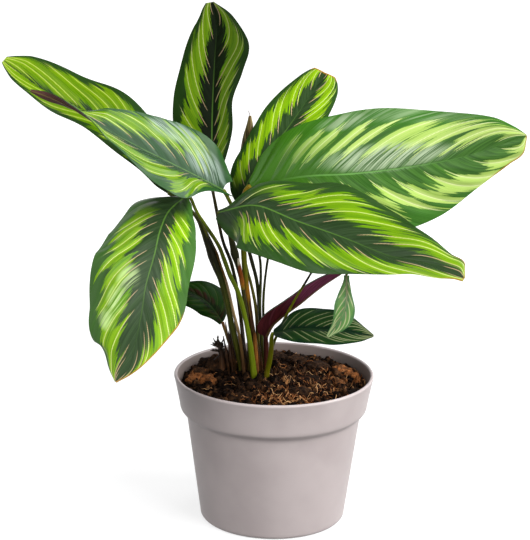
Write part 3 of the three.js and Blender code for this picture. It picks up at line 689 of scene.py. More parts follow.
leafH = {
    "rib": [[-62, -14, 234], [-72, -32, 228], [-77, -46, 218], [-80, -58, 205], [-85, -70, 187],
            [-88, -79, 167], [-94, -86, 142], [-104, -88, 127]],
    "right": [1, 26, 34, 43, 45, 42, 37, 26, 13, 1],
    "left": [1, 11, 21, 26, 29, 28, 17.5, 7, 3, 1],
    "wholeLeft": [1, 11, 21, 26, 29, 30, 28, 18, 8, 1],
    "face": [[0, -0.3, -0.6, 0.8], [0.2, -0.3, -0.85, 0.5], [1, -0.3, -0.9, 0.35]],
    "fold": 6, "curl": -30, "wave": 2, "waves": 2.5, "lobe": 2, "quilt": 0.6,
    "sweepRight": (0.45, 2.5), "sweepLeft": (0.45, 1.5),
    "linesRight": [0.12, 0.15, 0.2, 0.25, 0.34, 0.4, 0.53, 0.6, 0.74, 0.78],
    "linesLeft": [0.1, 0.14, 0.21, 0.25, 0.33, 0.37, 0.47, 0.53, 0.64, 0.68, 0.77],
    "look": {"tone": 1.1, "lineStart": 0.16, "margin": srgb(60, 104, 34), "bandStart": (0.1, 0.24),
             # the colour on the next line and the patches after it are painted sheen
             "dryFrom": 0.62, "lineShow": 0.8, "patchAndSheen": srgb(196, 222, 150),
             "patchesAndSheens": [(0.52, 0.3, 0.08, 0.22, 0.6), (0.62, 0.45, 0.08, 0.22, 0.8),
                        (0.72, 0.6, 0.07, 0.2, 0.7)]},
}
leafI = {
    "rib": [[-37, 30, 132], [-46, 28, 145], [-54, 26, 152], [-63, 24, 157], [-73, 22, 160]],
    "right": [3, 9.5, 17, 18.5, 16, 12.5, 8, 4, 2.2, 1],
    "left": [3, 4, 6.5, 10, 12, 13, 12, 8, 3.5, 1],
    "face": [[0, 0.1, -0.6, 0.8], [1, 0.1, -0.6, 0.8]],
    "fold": 10, "curl": -24, "wave": 1, "waves": 2, "lobe": 0, "quilt": 0.3,
    "sweepRight": (0.45, 0), "sweepLeft": (0.45, 0),
    "linesRight": [0.1, 0.2, 0.32, 0.45, 0.6, 0.75],
    "linesLeft": [0.1, 0.22, 0.34, 0.48, 0.62, 0.78],
    "look": {"band": srgb(44, 92, 16), "bandDark": srgb(30, 70, 14), "dark": srgb(20, 42, 12),
             "darkLight": srgb(32, 70, 16), "margin": srgb(30, 72, 14), "cream": srgb(110, 120, 60),
             "pink": srgb(110, 100, 60), "lineShow": 0.35, "tone": 0.42, "shine": 0.02, "ribShow": 0.3,
             # the maroon on the next line and the patches after it are this leaf's own colour
             "patchAndSheen": srgb(84, 40, 34),
             "patchesAndSheens": [(0.52, 0.22, 0.34, 0.2, 0.85), (0.1, 0.0, 0.14, 0.9, 0.6),
                        (0.3, -0.4, 0.2, 0.2, 0.5)]},
}
leafJ = {
    "rib": [[-1, -14, 138], [14, -20, 143], [31, -26, 145], [48, -32, 146], [67, -36, 144]],
    "right": [1, 5, 10, 13, 15, 15, 11, 7, 3.1, 1],
    "left": [4, 7, 16, 20, 19, 16, 12, 6, 2.7, 1],
    "face": [[0, 0, -0.5, 0.86], [1, 0, -0.5, 0.86]],
    "fold": 12, "curl": -16, "wave": 1, "waves": 2, "lobe": 0, "quilt": 0.3,
    "sweepRight": (0.45, 0), "sweepLeft": (0.5, 0),
    "linesRight": [0.1, 0.2, 0.27, 0.39, 0.46, 0.5, 0.64, 0.7, 0.8, 0.86],
    "linesLeft": [0.1, 0.15, 0.24, 0.3, 0.41, 0.47, 0.55, 0.66, 0.76, 0.86],
    "look": {"band": srgb(60, 104, 44), "bandDark": srgb(34, 72, 34), "dark": srgb(22, 50, 32),
             "darkLight": srgb(34, 70, 42), "margin": srgb(30, 76, 40), "cream": srgb(196, 206, 148),
             "pink": srgb(150, 150, 110), "inner": 0.15, "outer": 0.9, "lineIn": 0.08, "lineWidth": 0.26,
             "lineShow": 0.85, "ribShow": 0.3, "tone": 0.42, "shine": 0.08},
}
leafK = {
    "rib": [[47, -52, 191], [47, -56, 182], [47, -59, 175], [44, -61, 165], [35, -61, 151]],
    "right": [2, 2, 4, 7, 8, 6, 3, 2, 1.3, 1],
    "left": [2, 2, 3, 4, 7, 8, 6, 3, 1.7, 1],
    "face": [[0, 0.3, -0.9, 0.3], [1, 0.3, -0.9, 0.3]],
    "fold": 14, "curl": -20, "wave": 0, "waves": 1, "lobe": 0, "quilt": 0.2,
    "sweepRight": (0.5, 0), "sweepLeft": (0.5, 0),
    "linesRight": [0.15, 0.3, 0.45, 0.6, 0.75],
    "linesLeft": [0.2, 0.35, 0.5, 0.65, 0.8],
    "look": {"band": srgb(120, 172, 84), "bandDark": srgb(96, 148, 74), "dark": srgb(84, 132, 76),
             "darkLight": srgb(104, 152, 88), "margin": srgb(80, 134, 70), "cream": srgb(206, 214, 160),
             "pink": srgb(186, 172, 132), "rib": srgb(180, 160, 120), "lineWidth": 0.3, "ribShow": 0.5,
             "tone": 0.62},
}
leafL = {
    "rib": [[-5.6, 8, 129], [-1.7, 6, 137.4], [3.8, 3, 143.9], [10.6, -1, 150.7], [18.1, -5, 157.8],
            [25.5, -9, 165.5], [34.1, -13, 173.6], [44.7, -17.5, 182.1]],
    "right": [6, 9, 9, 8.2, 7.9, 7.5, 6.2, 4.6, 2.6, 1],
    "left": [6, 9, 9, 8.2, 7.9, 7.5, 6.2, 4.6, 2.6, 1],
    "face": [[0, -0.6, 0, 0.8], [1, -0.6, 0, 0.8]],
    "fold": 76, "curl": 10, "wave": 0, "waves": 1, "lobe": 0, "quilt": 0.1,
    "sweepRight": (0.5, 0), "sweepLeft": (0.5, 0),
    "linesRight": [0.1, 0.3, 0.5, 0.7],
    "linesLeft": [0.1, 0.3, 0.5, 0.7],
    "look": {},
}


def toned(look):
    # every colour of a leaf made brighter or darker alike
    result = dict(look)
    for title, value in look.items():
        if isinstance(value, tuple) and len(value) == 4:
            result[title] = (*(part * look["tone"] for part in value[:3]), 1.0)
    return result


leaves = {
    "a": leafA, "b": leafB, "c": leafC, "d": leafD, "e": leafE, "f": leafF,
    "g": leafG, "h": leafH, "i": leafI, "j": leafJ, "k": leafK, "l": leafL,
}
for letter, leaf in leaves.items():
    look = toned({**commonLook, "own": ord(letter) * 1.7, **leaf["look"]})
    top = leafTop("leafTop" + letter.upper(), look)
    piece = leafPiece("leaf_" + letter, leaf, "blade_" + letter, top, undersides.get(letter, under))
    "leaf_maroon" if letter in "cl" else "leaf_dark" if letter in "ij" else "leaf_green"
print("leaves made:", len(leaves))


# Stalks: points from the soil up to the leaf's base, as x, y, z and radius
stalkShape = {
    "foot": 90, "sides": 18, "rowStep": 1.6, "leastRows": 12, "mostRows": 120,
    "channelDepth": 0.12, "slim": 0.97,
}
stalks = {
    "a": [[-20, 15, 104, 1.5], [-25, 15, 150, 1.4], [-30.2, 15, 178, 1.3], [-37, 15, 197, 1.2],
          [-42, 15, 222, 1.2]],
    "b": [[-11, 21, 104, 1.3], [-11, 22, 143, 1.3], [-12.6, 22, 163.6, 1.3], [-16.3, 22, 178.9, 1.4],
          [-21.5, 22, 198, 1.2], [-25.5, 23, 214, 1.2]],
    "c": [[-7.5, 16, 104, 1.3], [-10.3, 17, 145, 1.1], [-10.5, 26, 178, 1], [-17.5, 38, 203, 0.9],
          [-21, 43.5, 214, 1]],
    "d": [[-10.5, 8, 104, 2.2], [-16, 8, 137, 2], [-20, 8, 166, 2], [-22, 8, 190, 2], [-23, 8, 220, 1.8],
          [-21.5, 8, 232, 1.9]],
    "e": [[-17, 4.5, 104, 1.6], [-18, 5, 130, 1.4], [-20.5, 4, 152, 1.4], [-22.9, 3, 168.3, 1.5],
          [-25.1, 2, 178.6, 1.7], [-26.9, 1, 186, 2.3], [-28.2, 0, 191.3, 2.9], [-29.4, -1.5, 197, 2.4],
          [-33, -6, 210, 1.3], [-38.5, -10.5, 219.5, 1.3]],
    "f": [[-11.6, 13, 104, 1.5], [-11.6, 13, 124, 1.4], [-12.4, 13, 139, 1.3], [-13.4, 13.3, 149, 1.2],
          [-15.2, 13.8, 158.6, 1.1], [-17.3, 14, 167.3, 1.1], [-19.7, 14, 176, 1.1], [-24.5, 12, 197, 1.2],
          [-29, 2, 220, 1.3], [-33, -3, 231, 1.4]],
    "g": [[-23, 8, 104, 2], [-30, 8, 137, 2.1], [-36.2, 8, 166, 2.6], [-42.5, 8, 185, 3.8],
          [-47.5, 7, 199, 2.9], [-54, 6, 214, 1.5], [-65, 4, 226.5, 1.2], [-70.5, 3, 230.5, 1.3]],
    "h": [[-14, 0, 103, 2.4], [-18.5, 0, 135, 1.8], [-25, -2, 162, 1.7], [-31, -4, 176, 1.6],
          [-35.3, -5, 188, 1.5], [-40, -7, 200, 1.4], [-53, -10, 221, 1.2], [-57.5, -11.5, 231.5, 1.2],
          [-59.5, -12.5, 233.5, 1.3]],
    "i": [[-27, 14, 103, 1.3], [-30, 17, 114, 1.2], [-33.5, 22, 124, 1.1], [-36, 28.5, 129.5, 1.2]],
    "j": [[-5, 1, 103, 2], [-3.5, -2, 112, 1.9], [-2, -8, 125, 1.7], [-2, -12, 134, 1.5]],
    "k": [[-3.5, 13, 104, 1.1], [-0.5, 9, 123, 1], [10, -4, 152, 0.9], [21, -22, 178, 0.8],
          [28, -36, 194, 0.8], [35, -44, 201, 0.8], [42, -48.5, 200, 0.8], [46.3, -51, 195, 0.9]],
    "l": [[-5.5, 9.5, 104, 1.9], [-5.5, 9, 117, 1.8], [-6, 8.5, 127, 1.6]],
    "m": [[-6.5, 23, 104, 1.1], [-8, 22, 144, 1], [-7, 19, 167, 0.9], [-4, 13, 193, 0.9]],
}
# colours from the foot up, at shares of the length, and the colour of the streaks
stalkLooks = {
    "a": {"run": [(0.0, (58, 44, 12)), (0.4, (40, 38, 8)), (1.0, (32, 30, 8))], "streak": (84, 72, 16)},
    "b": {"run": [(0.0, (44, 34, 10)), (0.3, (26, 28, 6)), (1.0, (24, 26, 6))], "streak": (86, 92, 14)},
    "c": {"run": [(0.0, (46, 38, 10)), (0.3, (28, 32, 6)), (1.0, (24, 28, 6))], "streak": (86, 98, 16)},
    "d": {"run": [(0.0, (62, 34, 14)), (0.43, (54, 28, 14)), (0.49, (150, 92, 16)), (0.56, (98, 102, 8)),
                  (0.8, (84, 92, 8)), (0.88, (118, 92, 14)), (1.0, (104, 88, 14))], "streak": (128, 112, 24)},
    "e": {"run": [(0.0, (54, 42, 12)), (0.4, (46, 42, 8)), (0.6, (28, 28, 8)), (0.8, (34, 36, 8)),
                  (1.0, (56, 62, 14))], "streak": (88, 80, 18)},
    "f": {"run": [(0.0, (50, 34, 12)), (0.35, (46, 38, 10)), (0.55, (74, 76, 10)), (0.8, (92, 102, 10)),
                  (1.0, (80, 92, 20))], "streak": (122, 118, 26)},
    "g": {"run": [(0.0, (60, 48, 12)), (0.2, (60, 64, 10)), (0.5, (50, 58, 10)), (0.58, (28, 28, 6)),
                  (0.72, (24, 22, 6)), (0.85, (46, 52, 12)), (1.0, (66, 80, 24))], "streak": (94, 94, 22)},
    "h": {"run": [(0.0, (70, 58, 10)), (0.12, (96, 112, 8)), (0.3, (100, 120, 8)), (0.5, (92, 112, 8)),
                  (0.68, (78, 88, 10)), (1.0, (68, 80, 16))], "streak": (128, 140, 24)},
    "i": {"run": [(0.0, (72, 58, 14)), (0.7, (92, 78, 18)), (1.0, (96, 56, 26))], "streak": (124, 98, 40)},
    "j": {"run": [(0.0, (84, 72, 14)), (0.4, (92, 94, 8)), (1.0, (88, 98, 12))], "streak": (118, 94, 32)},
    "k": {"run": [(0.0, (56, 52, 12)), (0.3, (62, 66, 10)), (0.42, (120, 124, 12)), (0.58, (112, 118, 14)),
                  (0.62, (26, 20, 10)), (0.8, (32, 28, 12)), (1.0, (72, 86, 24))], "streak": (104, 110, 26)},
    "l": {"run": [(0.0, (66, 42, 18)), (0.5, (62, 28, 18)), (1.0, (50, 16, 18))], "streak": (100, 54, 36)},
    "m": {"run": [(0.0, (50, 42, 12)), (0.3, (32, 34, 8)), (1.0, (28, 30, 8))], "streak": (84, 90, 16)},
}


def stalkPiece(name, line, node, material, tip=None):
    sides = stalkShape["sides"]
    x, y, _, radius = line[0]
    points = [[x, y, stalkShape["foot"], radius], *line]
    if tip is not None:
        points.append([*tip, line[-1][3]])
    path = tracePath(points)
    length = path[1][-1]
    rows = int(np.clip(length / stalkShape["rowStep"], stalkShape["leastRows"], stalkShape["mostRows"]))
    shares = np.linspace(0, 1, rows)
    centre = pathAt(path, shares)
    along = pathAlong(path, shares)
    first = unit(np.cross(along, [0.0, 1.0, 0.0]))
    second = np.cross(along, first)
    angles = evenAngles(sides)
    offChannel = np.mod(angles + 1.2, 2 * np.pi) - np.pi
    channel = 1 - stalkShape["channelDepth"] * np.exp(-(offChannel / 0.5) ** 2)
    knots = 1 + 0.03 * np.sin(shares * length * 0.21) + 0.02 * np.sin(shares * length * 0.57 + 1.0)
    radii = centre[:, 3][:, None] * channel[None, :] * knots[:, None] * stalkShape["slim"]
    ring = tube(centre[:, :3], radii, first, second, angles)
    count = rows * sides
    caps = np.vstack([centre[0, :3], centre[-1, :3] + along[-1] * radii[-1, 0] * 0.5])
    faces = gridFaces(rows, sides, closed=True).tolist()
    faces += fan(count, 0, sides, flip=True) + fan(count + 1, count - sides, sides)
    lengthShare = np.concatenate([np.repeat(shares, sides), [0, 1]])
    numbers = {
        "along": lengthShare,
        "rimX": np.concatenate([np.tile(np.cos(angles), rows), [0, 0]]),
        "rimY": np.concatenate([np.tile(np.sin(angles), rows), [0, 0]]),
        "lengthwise": lengthShare * length,
    }
    piece = makeMesh(name, np.vstack([ring.reshape(-1, 3), caps]), faces, [material], None, numbers)
    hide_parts(node)
    return piece


def stalkMaterial(name, look):
    material, wire = startMaterial(name)
    along, run, x, y = attributes(wire, "along", "lengthwise", "rimX", "rimY")
    fibres = cloud(place(x * 2.2, y * 2.2, run * 0.035), scale=2.0, detail=3.0)
    patches = cloud(place(x * 0.5, y * 0.5, run * 0.05))
    colour = ramp(along + (patches - 0.5) * 0.08, look["run"])
    streak = between(fibres + (patches - 0.5) * 0.4, 0.5, 0.72) * 0.8
    colour = mixColours(streak, colour, srgb(*look["streak"]))
    roughness = 0.42 + (fibres - 0.5) * 0.3
    return finishMaterial(
        material, colour, roughness, fibres, relief=0.5, depth=0.25 * mm, Specular_IOR_Level=0.08
    )


for letter, line in stalks.items():
    material = stalkMaterial("stalkSkin" + letter.upper(), stalkLooks[letter])
    tip = None
    if letter in leaves:
        rib = tracePath(leaves[letter]["rib"])
        tip = pathAt(rib, 0.0) - pathAlong(rib, 0.0) * 0.2
    piece = stalkPiece("stalk" + letter.upper(), line, "stalk_" + letter, material, tip)
print("stalks made:", len(stalks))


# Dry sheaths round the stalks
sheaths = {
    "sheath_tan": {
        "rib": [[-20.6, 2, 99], [-24, 3, 127.4], [-28.7, 3.8, 146.9], [-32.7, 4.4, 164.8],
                [-35.5, 4.6, 174.1], [-38.7, 4.6, 183.5], [-42.2, 4.1, 194.3]],
        "right": [1.6, 1.6, 1.6, 1.5, 1.4, 1.2, 1.1, 1, 0.8, 0.6],
        "left": [1.6, 1.6, 1.6, 1.5, 1.4, 1.2, 1.1, 1, 0.8, 0.6],
        "face": [[0, 0, -1, 0.1], [1, 0, -1, 0.1]], "curl": -60,
        "run": [(0.0, (58, 36, 18)), (0.3, (112, 84, 44)), (0.42, (182, 154, 104)), (0.7, (190, 164, 118)),
                (0.8, (126, 92, 36)), (1.0, (88, 62, 22))],
    },
    "sheath_brown": {
        "rib": [[-11.5, 3, 99], [-12.5, 3, 112], [-13.2, 3, 122], [-13.9, 2.9, 133]],
        "right": [2.4, 2.4, 2.3, 2.2, 2.1, 2.1, 2, 1.9, 1.6, 1.2],
        "left": [2.4, 2.4, 2.3, 2.2, 2.1, 2.1, 2, 1.9, 1.6, 1.2],
        "face": [[0, 0, -1, 0.1], [1, 0, -1, 0.1]], "curl": -70,
        "run": [(0.0, (64, 38, 18)), (0.4, (150, 92, 34)), (0.8, (164, 104, 40)), (1.0, (104, 66, 28))],
    },
    "sheath_torn": {
        "rib": [[-22, 0.3, 164.7], [-23.3, -0.8, 173], [-24.5, -2.2, 181.2], [-25.6, -3.2, 188.3]],
        "right": [1, 1.6, 2.1, 2.1, 1.9, 1.7, 1.4, 1.1, 0.8, 0.6],
        "left": [1, 1.6, 2.1, 2.1, 1.9, 1.7, 1.4, 1.1, 0.8, 0.6],
        "face": [[0, 0, -1, 0.1], [1, 0.2, -1, 0.1]], "curl": -50,
        # the near-white at the top of this run is a painted highlight
        "run": [(0.0, (130, 122, 30)), (0.2, (176, 104, 22)), (0.6, (150, 66, 16)), (0.76, (120, 66, 34)),
                (0.84, (226, 212, 184)), (1.0, (240, 232, 212))],
    },
}


def sheathMaterial(name, run):
    material, wire = startMaterial(name)
    vein, spread, along = attributes(wire, "vein", "spread", "along")
    fibres = cloud(place(spread * 3.0, vein * 0.04, 2.0), scale=2.0, detail=4.0)
    blotch = cloud(place(spread, vein * 0.16, 6.0))
    colour = ramp(along + (blotch - 0.5) * 0.12, run)
    worn = between(fibres + (blotch - 0.5) * 0.8, 0.6, 0.35) * 0.6
    colour = mixColours(worn, colour, srgb(58, 34, 16))
    return finishMaterial(
        material, colour, 0.75, fibres, relief=0.7, depth=0.3 * mm, Specular_IOR_Level=0.1
    )


plainSheath = {
    "fold": -10, "wave": 0, "waves": 1, "lobe": 0, "quilt": 0, "sweepRight": (0.2, 0), "sweepLeft": (0.2, 0),
    "linesRight": [0.2, 0.6], "linesLeft": [0.2, 0.6],
}
for node, sheath in sheaths.items():
    skin = sheathMaterial(node + "Skin", sheath["run"])
    piece = leafPiece(node + "Strip", {**plainSheath, **sheath}, node, skin, skin)

# The dead stub is a short stalk
stub = [
    [-36, 12, 99, 2.6], [-36.8, 12, 110, 2.3], [-37.7, 12, 117, 1.9], [-38.6, 11.7, 121, 1.7],
    [-39.4, 11.4, 123.5, 1.1],
]
stubLook = {
    "run": [(0.0, (52, 32, 18)), (0.4, (72, 46, 28)), (0.7, (40, 26, 17)), (1.0, (24, 17, 13))],
    "streak": (104, 72, 44),
}
stubSkin = stalkMaterial("stubSkin", stubLook)
stalkPiece("deadStub", stub, "dead_stub", stubSkin)
print("sheaths made")


# Soil: a lumpy bed, crumbs, bark chunks and fibres. Each ring of its walls is a radius and a height, and its
# colours are as a picture shows them.
soil = {
    "crown": (-12, 8), "crownHeight": 102, "edgeHeight": 94.5, "moundReach": 70, "moundFall": 3.2,
    "radius": 65.6, "rings": 90, "around": 220,
    "walls": [(47.2, 3.0), (53.2, 40.0), (58.2, 78.1), (63.0, 83.7)],
    "lumpSizes": (9.0, 6.0, 4.2, 3.0, 2.1, 1.5), "lumpHeight": 0.085, "lumpSeed": 3, "toneSeed": 5,
    "crumbs": 2450, "leastCrumb": 0.45, "moreCrumb": 2.4, "crumbMargin": 2.5,
    "fibres": 460, "fibreLengths": (3, 13), "fibreRadii": (0.12, 0.3), "fibreMargin": 1.5, "seed": 7,
    "bumpSizes": (1.8, 1.1, 0.7, 0.42, 0.26, 0.16), "bumpHeight": 0.11, "barkSeed": 40,
    "wet": (9, 5, 3), "dark": (26, 16, 10), "brown": (66, 44, 27), "tan": (150, 104, 64),
    "orange": (150, 92, 50),
}
# clods as x, y, radius, rise and tone
barkChunks = [
    [-55, 8, 9.5, 6, 0.68], [-49, 2, 7.5, 5.5, 0.64], [-58.5, 2, 5, 4, 0.5], [-44, -2, 5, 3.5, 0.62],
    [-52, 12, 7, 6, 0.42], [50, 25, 8.5, 6.5, 0.6], [55, 17, 6.5, 6, 0.64], [46, 3, 6, 4.5, 0.58],
    [51, 7, 5, 4.5, 0.52], [59, 6, 2.6, 6.5, 0.62], [45, 20, 6, 5, 0.44], [-41, 17, 8, 11, 0.36],
    [-46, 30, 9, 5, 0.24], [18, -22, 9, 3.5, 0.3], [-20, -30, 10, 3, 0.34], [30, 32, 12, 4.5, 0.3],
    [-30, 38, 12, 5, 0.12], [2, 46, 10, 5, 0.3], [36, -34, 7, 3, 0.28], [4, -48, 8, 3, 0.4],
    [56, -16, 7, 3, 0.16], [-38, -38, 8, 3, 0.34], [16, 40, 9, 5, 0.36], [-14, -14, 7, 3, 0.3],
    [26, 6, 9, 4, 0.2],
]
chance = np.random.default_rng(soil["seed"])


def soilTop(x, y):
    # a mound round the crown with wide low lumps, higher at the back and at the left behind the crown
    away = np.hypot(x - soil["crown"][0], y - soil["crown"][1]) / soil["moundReach"]
    rise = soil["crownHeight"] - soil["edgeHeight"]
    mound = soil["edgeHeight"] + rise * np.exp(-soil["moundFall"] * away**2)
    lumps = 0.8 * np.sin(0.31 * x + 1.7) * np.sin(0.27 * y + 0.4) + 0.6 * np.sin(0.55 * x - 0.48 * y)
    back = 2.6 * ease(y, 5, 50) + 2.2 * np.exp(-(((x + 42) / 16) ** 2) - ((y - 28) / 18) ** 2)
    return mound + lumps + back


def smallLumps(x, y, seed=soil["lumpSeed"]):
    # a few crossed waves stand in for small lumps
    total = np.zeros_like(x)
    own = np.random.default_rng(seed)
    for size in soil["lumpSizes"]:
        for _ in range(3):
            angle = own.uniform(0, np.pi)
            shift = own.uniform(0, roundTurn)
            across = x * np.cos(angle) + y * np.sin(angle)
            total += soil["lumpHeight"] * size * np.sin(across * roundTurn / size + shift)
    return total


def soilBed():
    around, walls = soil["around"], soil["walls"]
    angles = evenAngles(around)
    radii = soil["radius"] * np.linspace(1, 0.004, soil["rings"])[:, None]
    x, y = radii * np.cos(angles), radii * np.sin(angles)
    top = np.stack([x, y, soilTop(x, y) + smallLumps(x, y)], -1).reshape(-1, 3)
    points = np.vstack([rings(walls, angles), top, [[0, 0, walls[0][1]]]])
    rows = soil["rings"] + len(walls)
    last = (rows - 1) * around
    faces = gridFaces(rows, around, closed=True).tolist()
    faces.append([last + j for j in range(around)])
    faces += fan(len(points) - 1, 0, around, flip=True)
    topTone = smallLumps(x, y, soil["toneSeed"]).ravel() * 0.2 + 0.3
    tone = np.concatenate([np.zeros(len(walls) * around), topTone, [0]])
    return points, faces, tone


def soilMaterial(name, run, grain=1.0):
    material, wire = startMaterial(name)
    [tone] = attributes(wire, "tone")
    spot = ownPlace(wire)
    lumps = cloud(spot, scale=260.0 * grain, detail=5.0, rough=0.65)
    specks = cloud(spot, scale=900.0 * grain, detail=3.0, rough=0.6)
    colour = ramp(tone + (lumps - 0.5) * 0.9 + (specks - 0.5) * 0.5, run)
    grit = lumps + specks * 0.5
    return finishMaterial(
        material, colour, 0.92, grit, relief=0.9, depth=0.8 * mm, Specular_IOR_Level=0.05
    )


bedRun = [(0.0, soil["wet"]), (0.35, soil["dark"]), (0.75, soil["brown"]), (1.0, soil["tan"])]
bedSkin = soilMaterial("soilBedSkin", bedRun)
points, faces, tone = soilBed()
bed = makeMesh("soilBed", points, faces, [bedSkin], None, {"tone": tone})
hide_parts("soil")


def ball(rounds):
    # a unit ball of triangles
    gold = (1 + 5**0.5) / 2
    points = [[-1, gold, 0], [1, gold, 0], [-1, -gold, 0], [1, -gold, 0], [0, -1, gold], [0, 1, gold],
              [0, -1, -gold], [0, 1, -gold], [gold, 0, -1], [gold, 0, 1], [-gold, 0, -1], [-gold, 0, 1]]
    faces = [[0, 11, 5], [0, 5, 1], [0, 1, 7], [0, 7, 10], [0, 10, 11], [1, 5, 9], [5, 11, 4], [11, 10, 2],
             [10, 7, 6], [7, 1, 8], [3, 9, 4], [3, 4, 2], [3, 2, 6], [3, 6, 8], [3, 8, 9], [4, 9, 5],
             [2, 4, 11], [6, 2, 10], [8, 6, 7], [9, 8, 1]]
    points = [unit(np.array(p, float)) for p in points]
    for _ in range(rounds):
        middles = {}
        finer = []

        def middle(a, b):
            key = (min(a, b), max(a, b))
            if key not in middles:
                points.append(unit(points[a] + points[b]))
                middles[key] = len(points) - 1
            return middles[key]

        for a, b, c in faces:
            ab, bc, ca = middle(a, b), middle(b, c), middle(c, a)
            finer += [[a, ab, ca], [b, bc, ab], [c, ca, bc], [ab, bc, ca]]
        faces = finer
    return np.array(points), np.array(faces)


def scatter(shapes, faces, tones):
    # many shapes with one ball's faces, as one mesh with a tone for each
    size = shapes.shape[1]
    moved = faces[None, :, :] + (np.arange(len(shapes)) * size)[:, None, None]
    return shapes.reshape(-1, 3), moved.reshape(-1, 3), np.repeat(tones, size)


def turned(points, seeds):
    # each shape turned its own way
    a, b, c = seeds.T * roundTurn
    ca, sa, cb, sb, cc, sc = np.cos(a), np.sin(a), np.cos(b), np.sin(b), np.cos(c), np.sin(c)
    rows = np.stack([
        np.stack([cb * cc, -cb * sc, sb], -1),
        np.stack([sa * sb * cc + ca * sc, -sa * sb * sc + ca * cc, -sa * cb], -1),
        np.stack([-ca * sb * cc + sa * sc, ca * sb * sc + sa * cc, ca * cb], -1),
    ], 1)
    return np.einsum("nij,npj->npi", rows, points)


def thread(centre, radius, sides, flat, start):
    # a thin flat tube along some points
    rows = len(centre)
    along = unit(np.gradient(centre, axis=0))
    first = unit(np.cross(along, [0.0, 0.0, 1.0]) + 1e-6)
    second = np.cross(along, first)
    ring = tube(centre, radius[:, None], first, second * flat, evenAngles(sides))
    faces = gridFaces(rows, sides, start=start, closed=True).tolist()
    faces.append([start + j for j in reversed(range(sides))])
    faces.append([start + (rows - 1) * sides + j for j in range(sides)])
    return ring.reshape(-1, 3), faces


def crumbPiece():
    unitPoints, unitFaces = ball(1)
    count = soil["crumbs"]
    away = np.sqrt(chance.uniform(0, 1, count)) * (soil["radius"] - soil["crumbMargin"])
    angle = chance.uniform(0, 2 * np.pi, count)
    x, y = away * np.cos(angle), away * np.sin(angle)
    size = soil["leastCrumb"] + soil["moreCrumb"] * chance.beta(1.2, 4.6, count)
    lumps = 1 + chance.uniform(-0.32, 0.32, (count, len(unitPoints), 1))
    stretch = chance.uniform(0.55, 1.25, (count, 1, 3))
    turns = chance.uniform(0, 1, (count, 3))
    shapes = turned(unitPoints[None] * lumps * stretch, turns) * size[:, None, None]
    z = soilTop(x, y) + smallLumps(x, y) + size * 0.25
    shapes += np.stack([x, y, z], -1)[:, None, :]
    return scatter(shapes, unitFaces, chance.beta(1.1, 3.0, count))


crumbRun = [(0.0, soil["wet"]), (0.3, soil["dark"]), (0.62, soil["brown"]), (1.0, soil["tan"])]
crumbSkin = soilMaterial("crumbSkin", crumbRun, grain=1.4)
points, faces, tone = crumbPiece()
crumbs = makeMesh("soilCrumbs", points, faces, [crumbSkin], None, {"tone": tone}, smooth=False)


def chunkPiece():
    unitPoints, unitFaces = ball(4)
    halfTurn, meanWave = roundTurn / 2, 0.64
    shapes, tones = [], []
    for k, (x, y, radius, rise, tone) in enumerate(barkChunks):
        own = np.random.default_rng(soil["barkSeed"] + k)
        turn = own.uniform(0, roundTurn)
        p = unitPoints.copy()
        # rounded bumps with sharp creases between them
        bumps = np.zeros(len(p))
        for size in soil["bumpSizes"]:
            for _ in range(3):
                way = unit(own.normal(size=3))
                wave = np.sin((p @ way) * halfTurn / size + own.uniform(0, halfTurn))
                bumps += soil["bumpHeight"] * size**0.8 * (np.abs(wave) - meanWave)
        p = np.sign(p) * np.abs(p) ** 0.9 * (1 + bumps)[:, None]
        p = p * [radius * 0.92, radius * 0.74, rise]
        c, s = math.cos(turn), math.sin(turn)
        p = p @ np.array([[c, s, 0], [-s, c, 0], [0, 0, 1]])
        shapes.append(p + [x, y, float(soilTop(x, y)) - rise * 0.1])
        tones.append(tone)
    return scatter(np.array(shapes), unitFaces, np.array(tones))


chunkRun = [
    (0.0, soil["wet"]), (0.25, soil["dark"]), (0.5, soil["brown"]), (0.8, soil["orange"]), (1.0, soil["tan"]),
]
chunkSkin = soilMaterial("barkSkin", chunkRun, grain=1.3)
points, faces, tone = chunkPiece()
chunks = makeMesh("barkChunks", points, faces, [chunkSkin], None, {"tone": tone})


# shares of the fibres, with the middle and spread of the place they lie in
fibreSpots = [(0.52, 14, -36, 17, 9), (0.2, 22, -14, 22, 14), (0.14, 40, 12, 14, 14), (0.14, -10, 0, 34, 30)]
fibreShares = np.cumsum([spot[0] for spot in fibreSpots]) - tiny


def fibrePiece():
    count, rows, sides = soil["fibres"], 9, 5
    shares = np.linspace(0, 1, rows)
    allPoints, allFaces, tones = [], [], []
    for k in range(count):
        _, middleX, middleY, wideX, wideY = fibreSpots[int(np.searchsorted(fibreShares, chance.uniform()))]
        length = chance.uniform(*soil["fibreLengths"])
        way = chance.uniform(0, 2 * np.pi)
        bend = chance.uniform(-2.4, 2.4)
        heading = way + bend * shares
        x = chance.normal(middleX, wideX) + np.cumsum(np.cos(heading)) * length / rows
        y = chance.normal(middleY, wideY) + np.cumsum(np.sin(heading)) * length / rows
        far = np.hypot(x, y) / (soil["radius"] - soil["fibreMargin"])
        x, y = x / np.maximum(far, 1), y / np.maximum(far, 1)
        lift = chance.uniform(0.2, 2.6) * np.sin(np.pi * shares) + chance.uniform(-0.8, 1.6) * shares
        z = soilTop(x, y) + smallLumps(x, y) * 0.5 + 0.6 + lift
        centre = np.stack([x, y, z], -1)
        radius = chance.uniform(*soil["fibreRadii"]) * (1 - 0.5 * shares)
        points, faces = thread(centre, radius, sides, flat=0.6, start=k * rows * sides)
        allPoints.append(points)
        allFaces += faces
        tones.append(np.full(rows * sides, chance.uniform(0.15, 1.0)))
    return np.vstack(allPoints), allFaces, np.concatenate(tones)


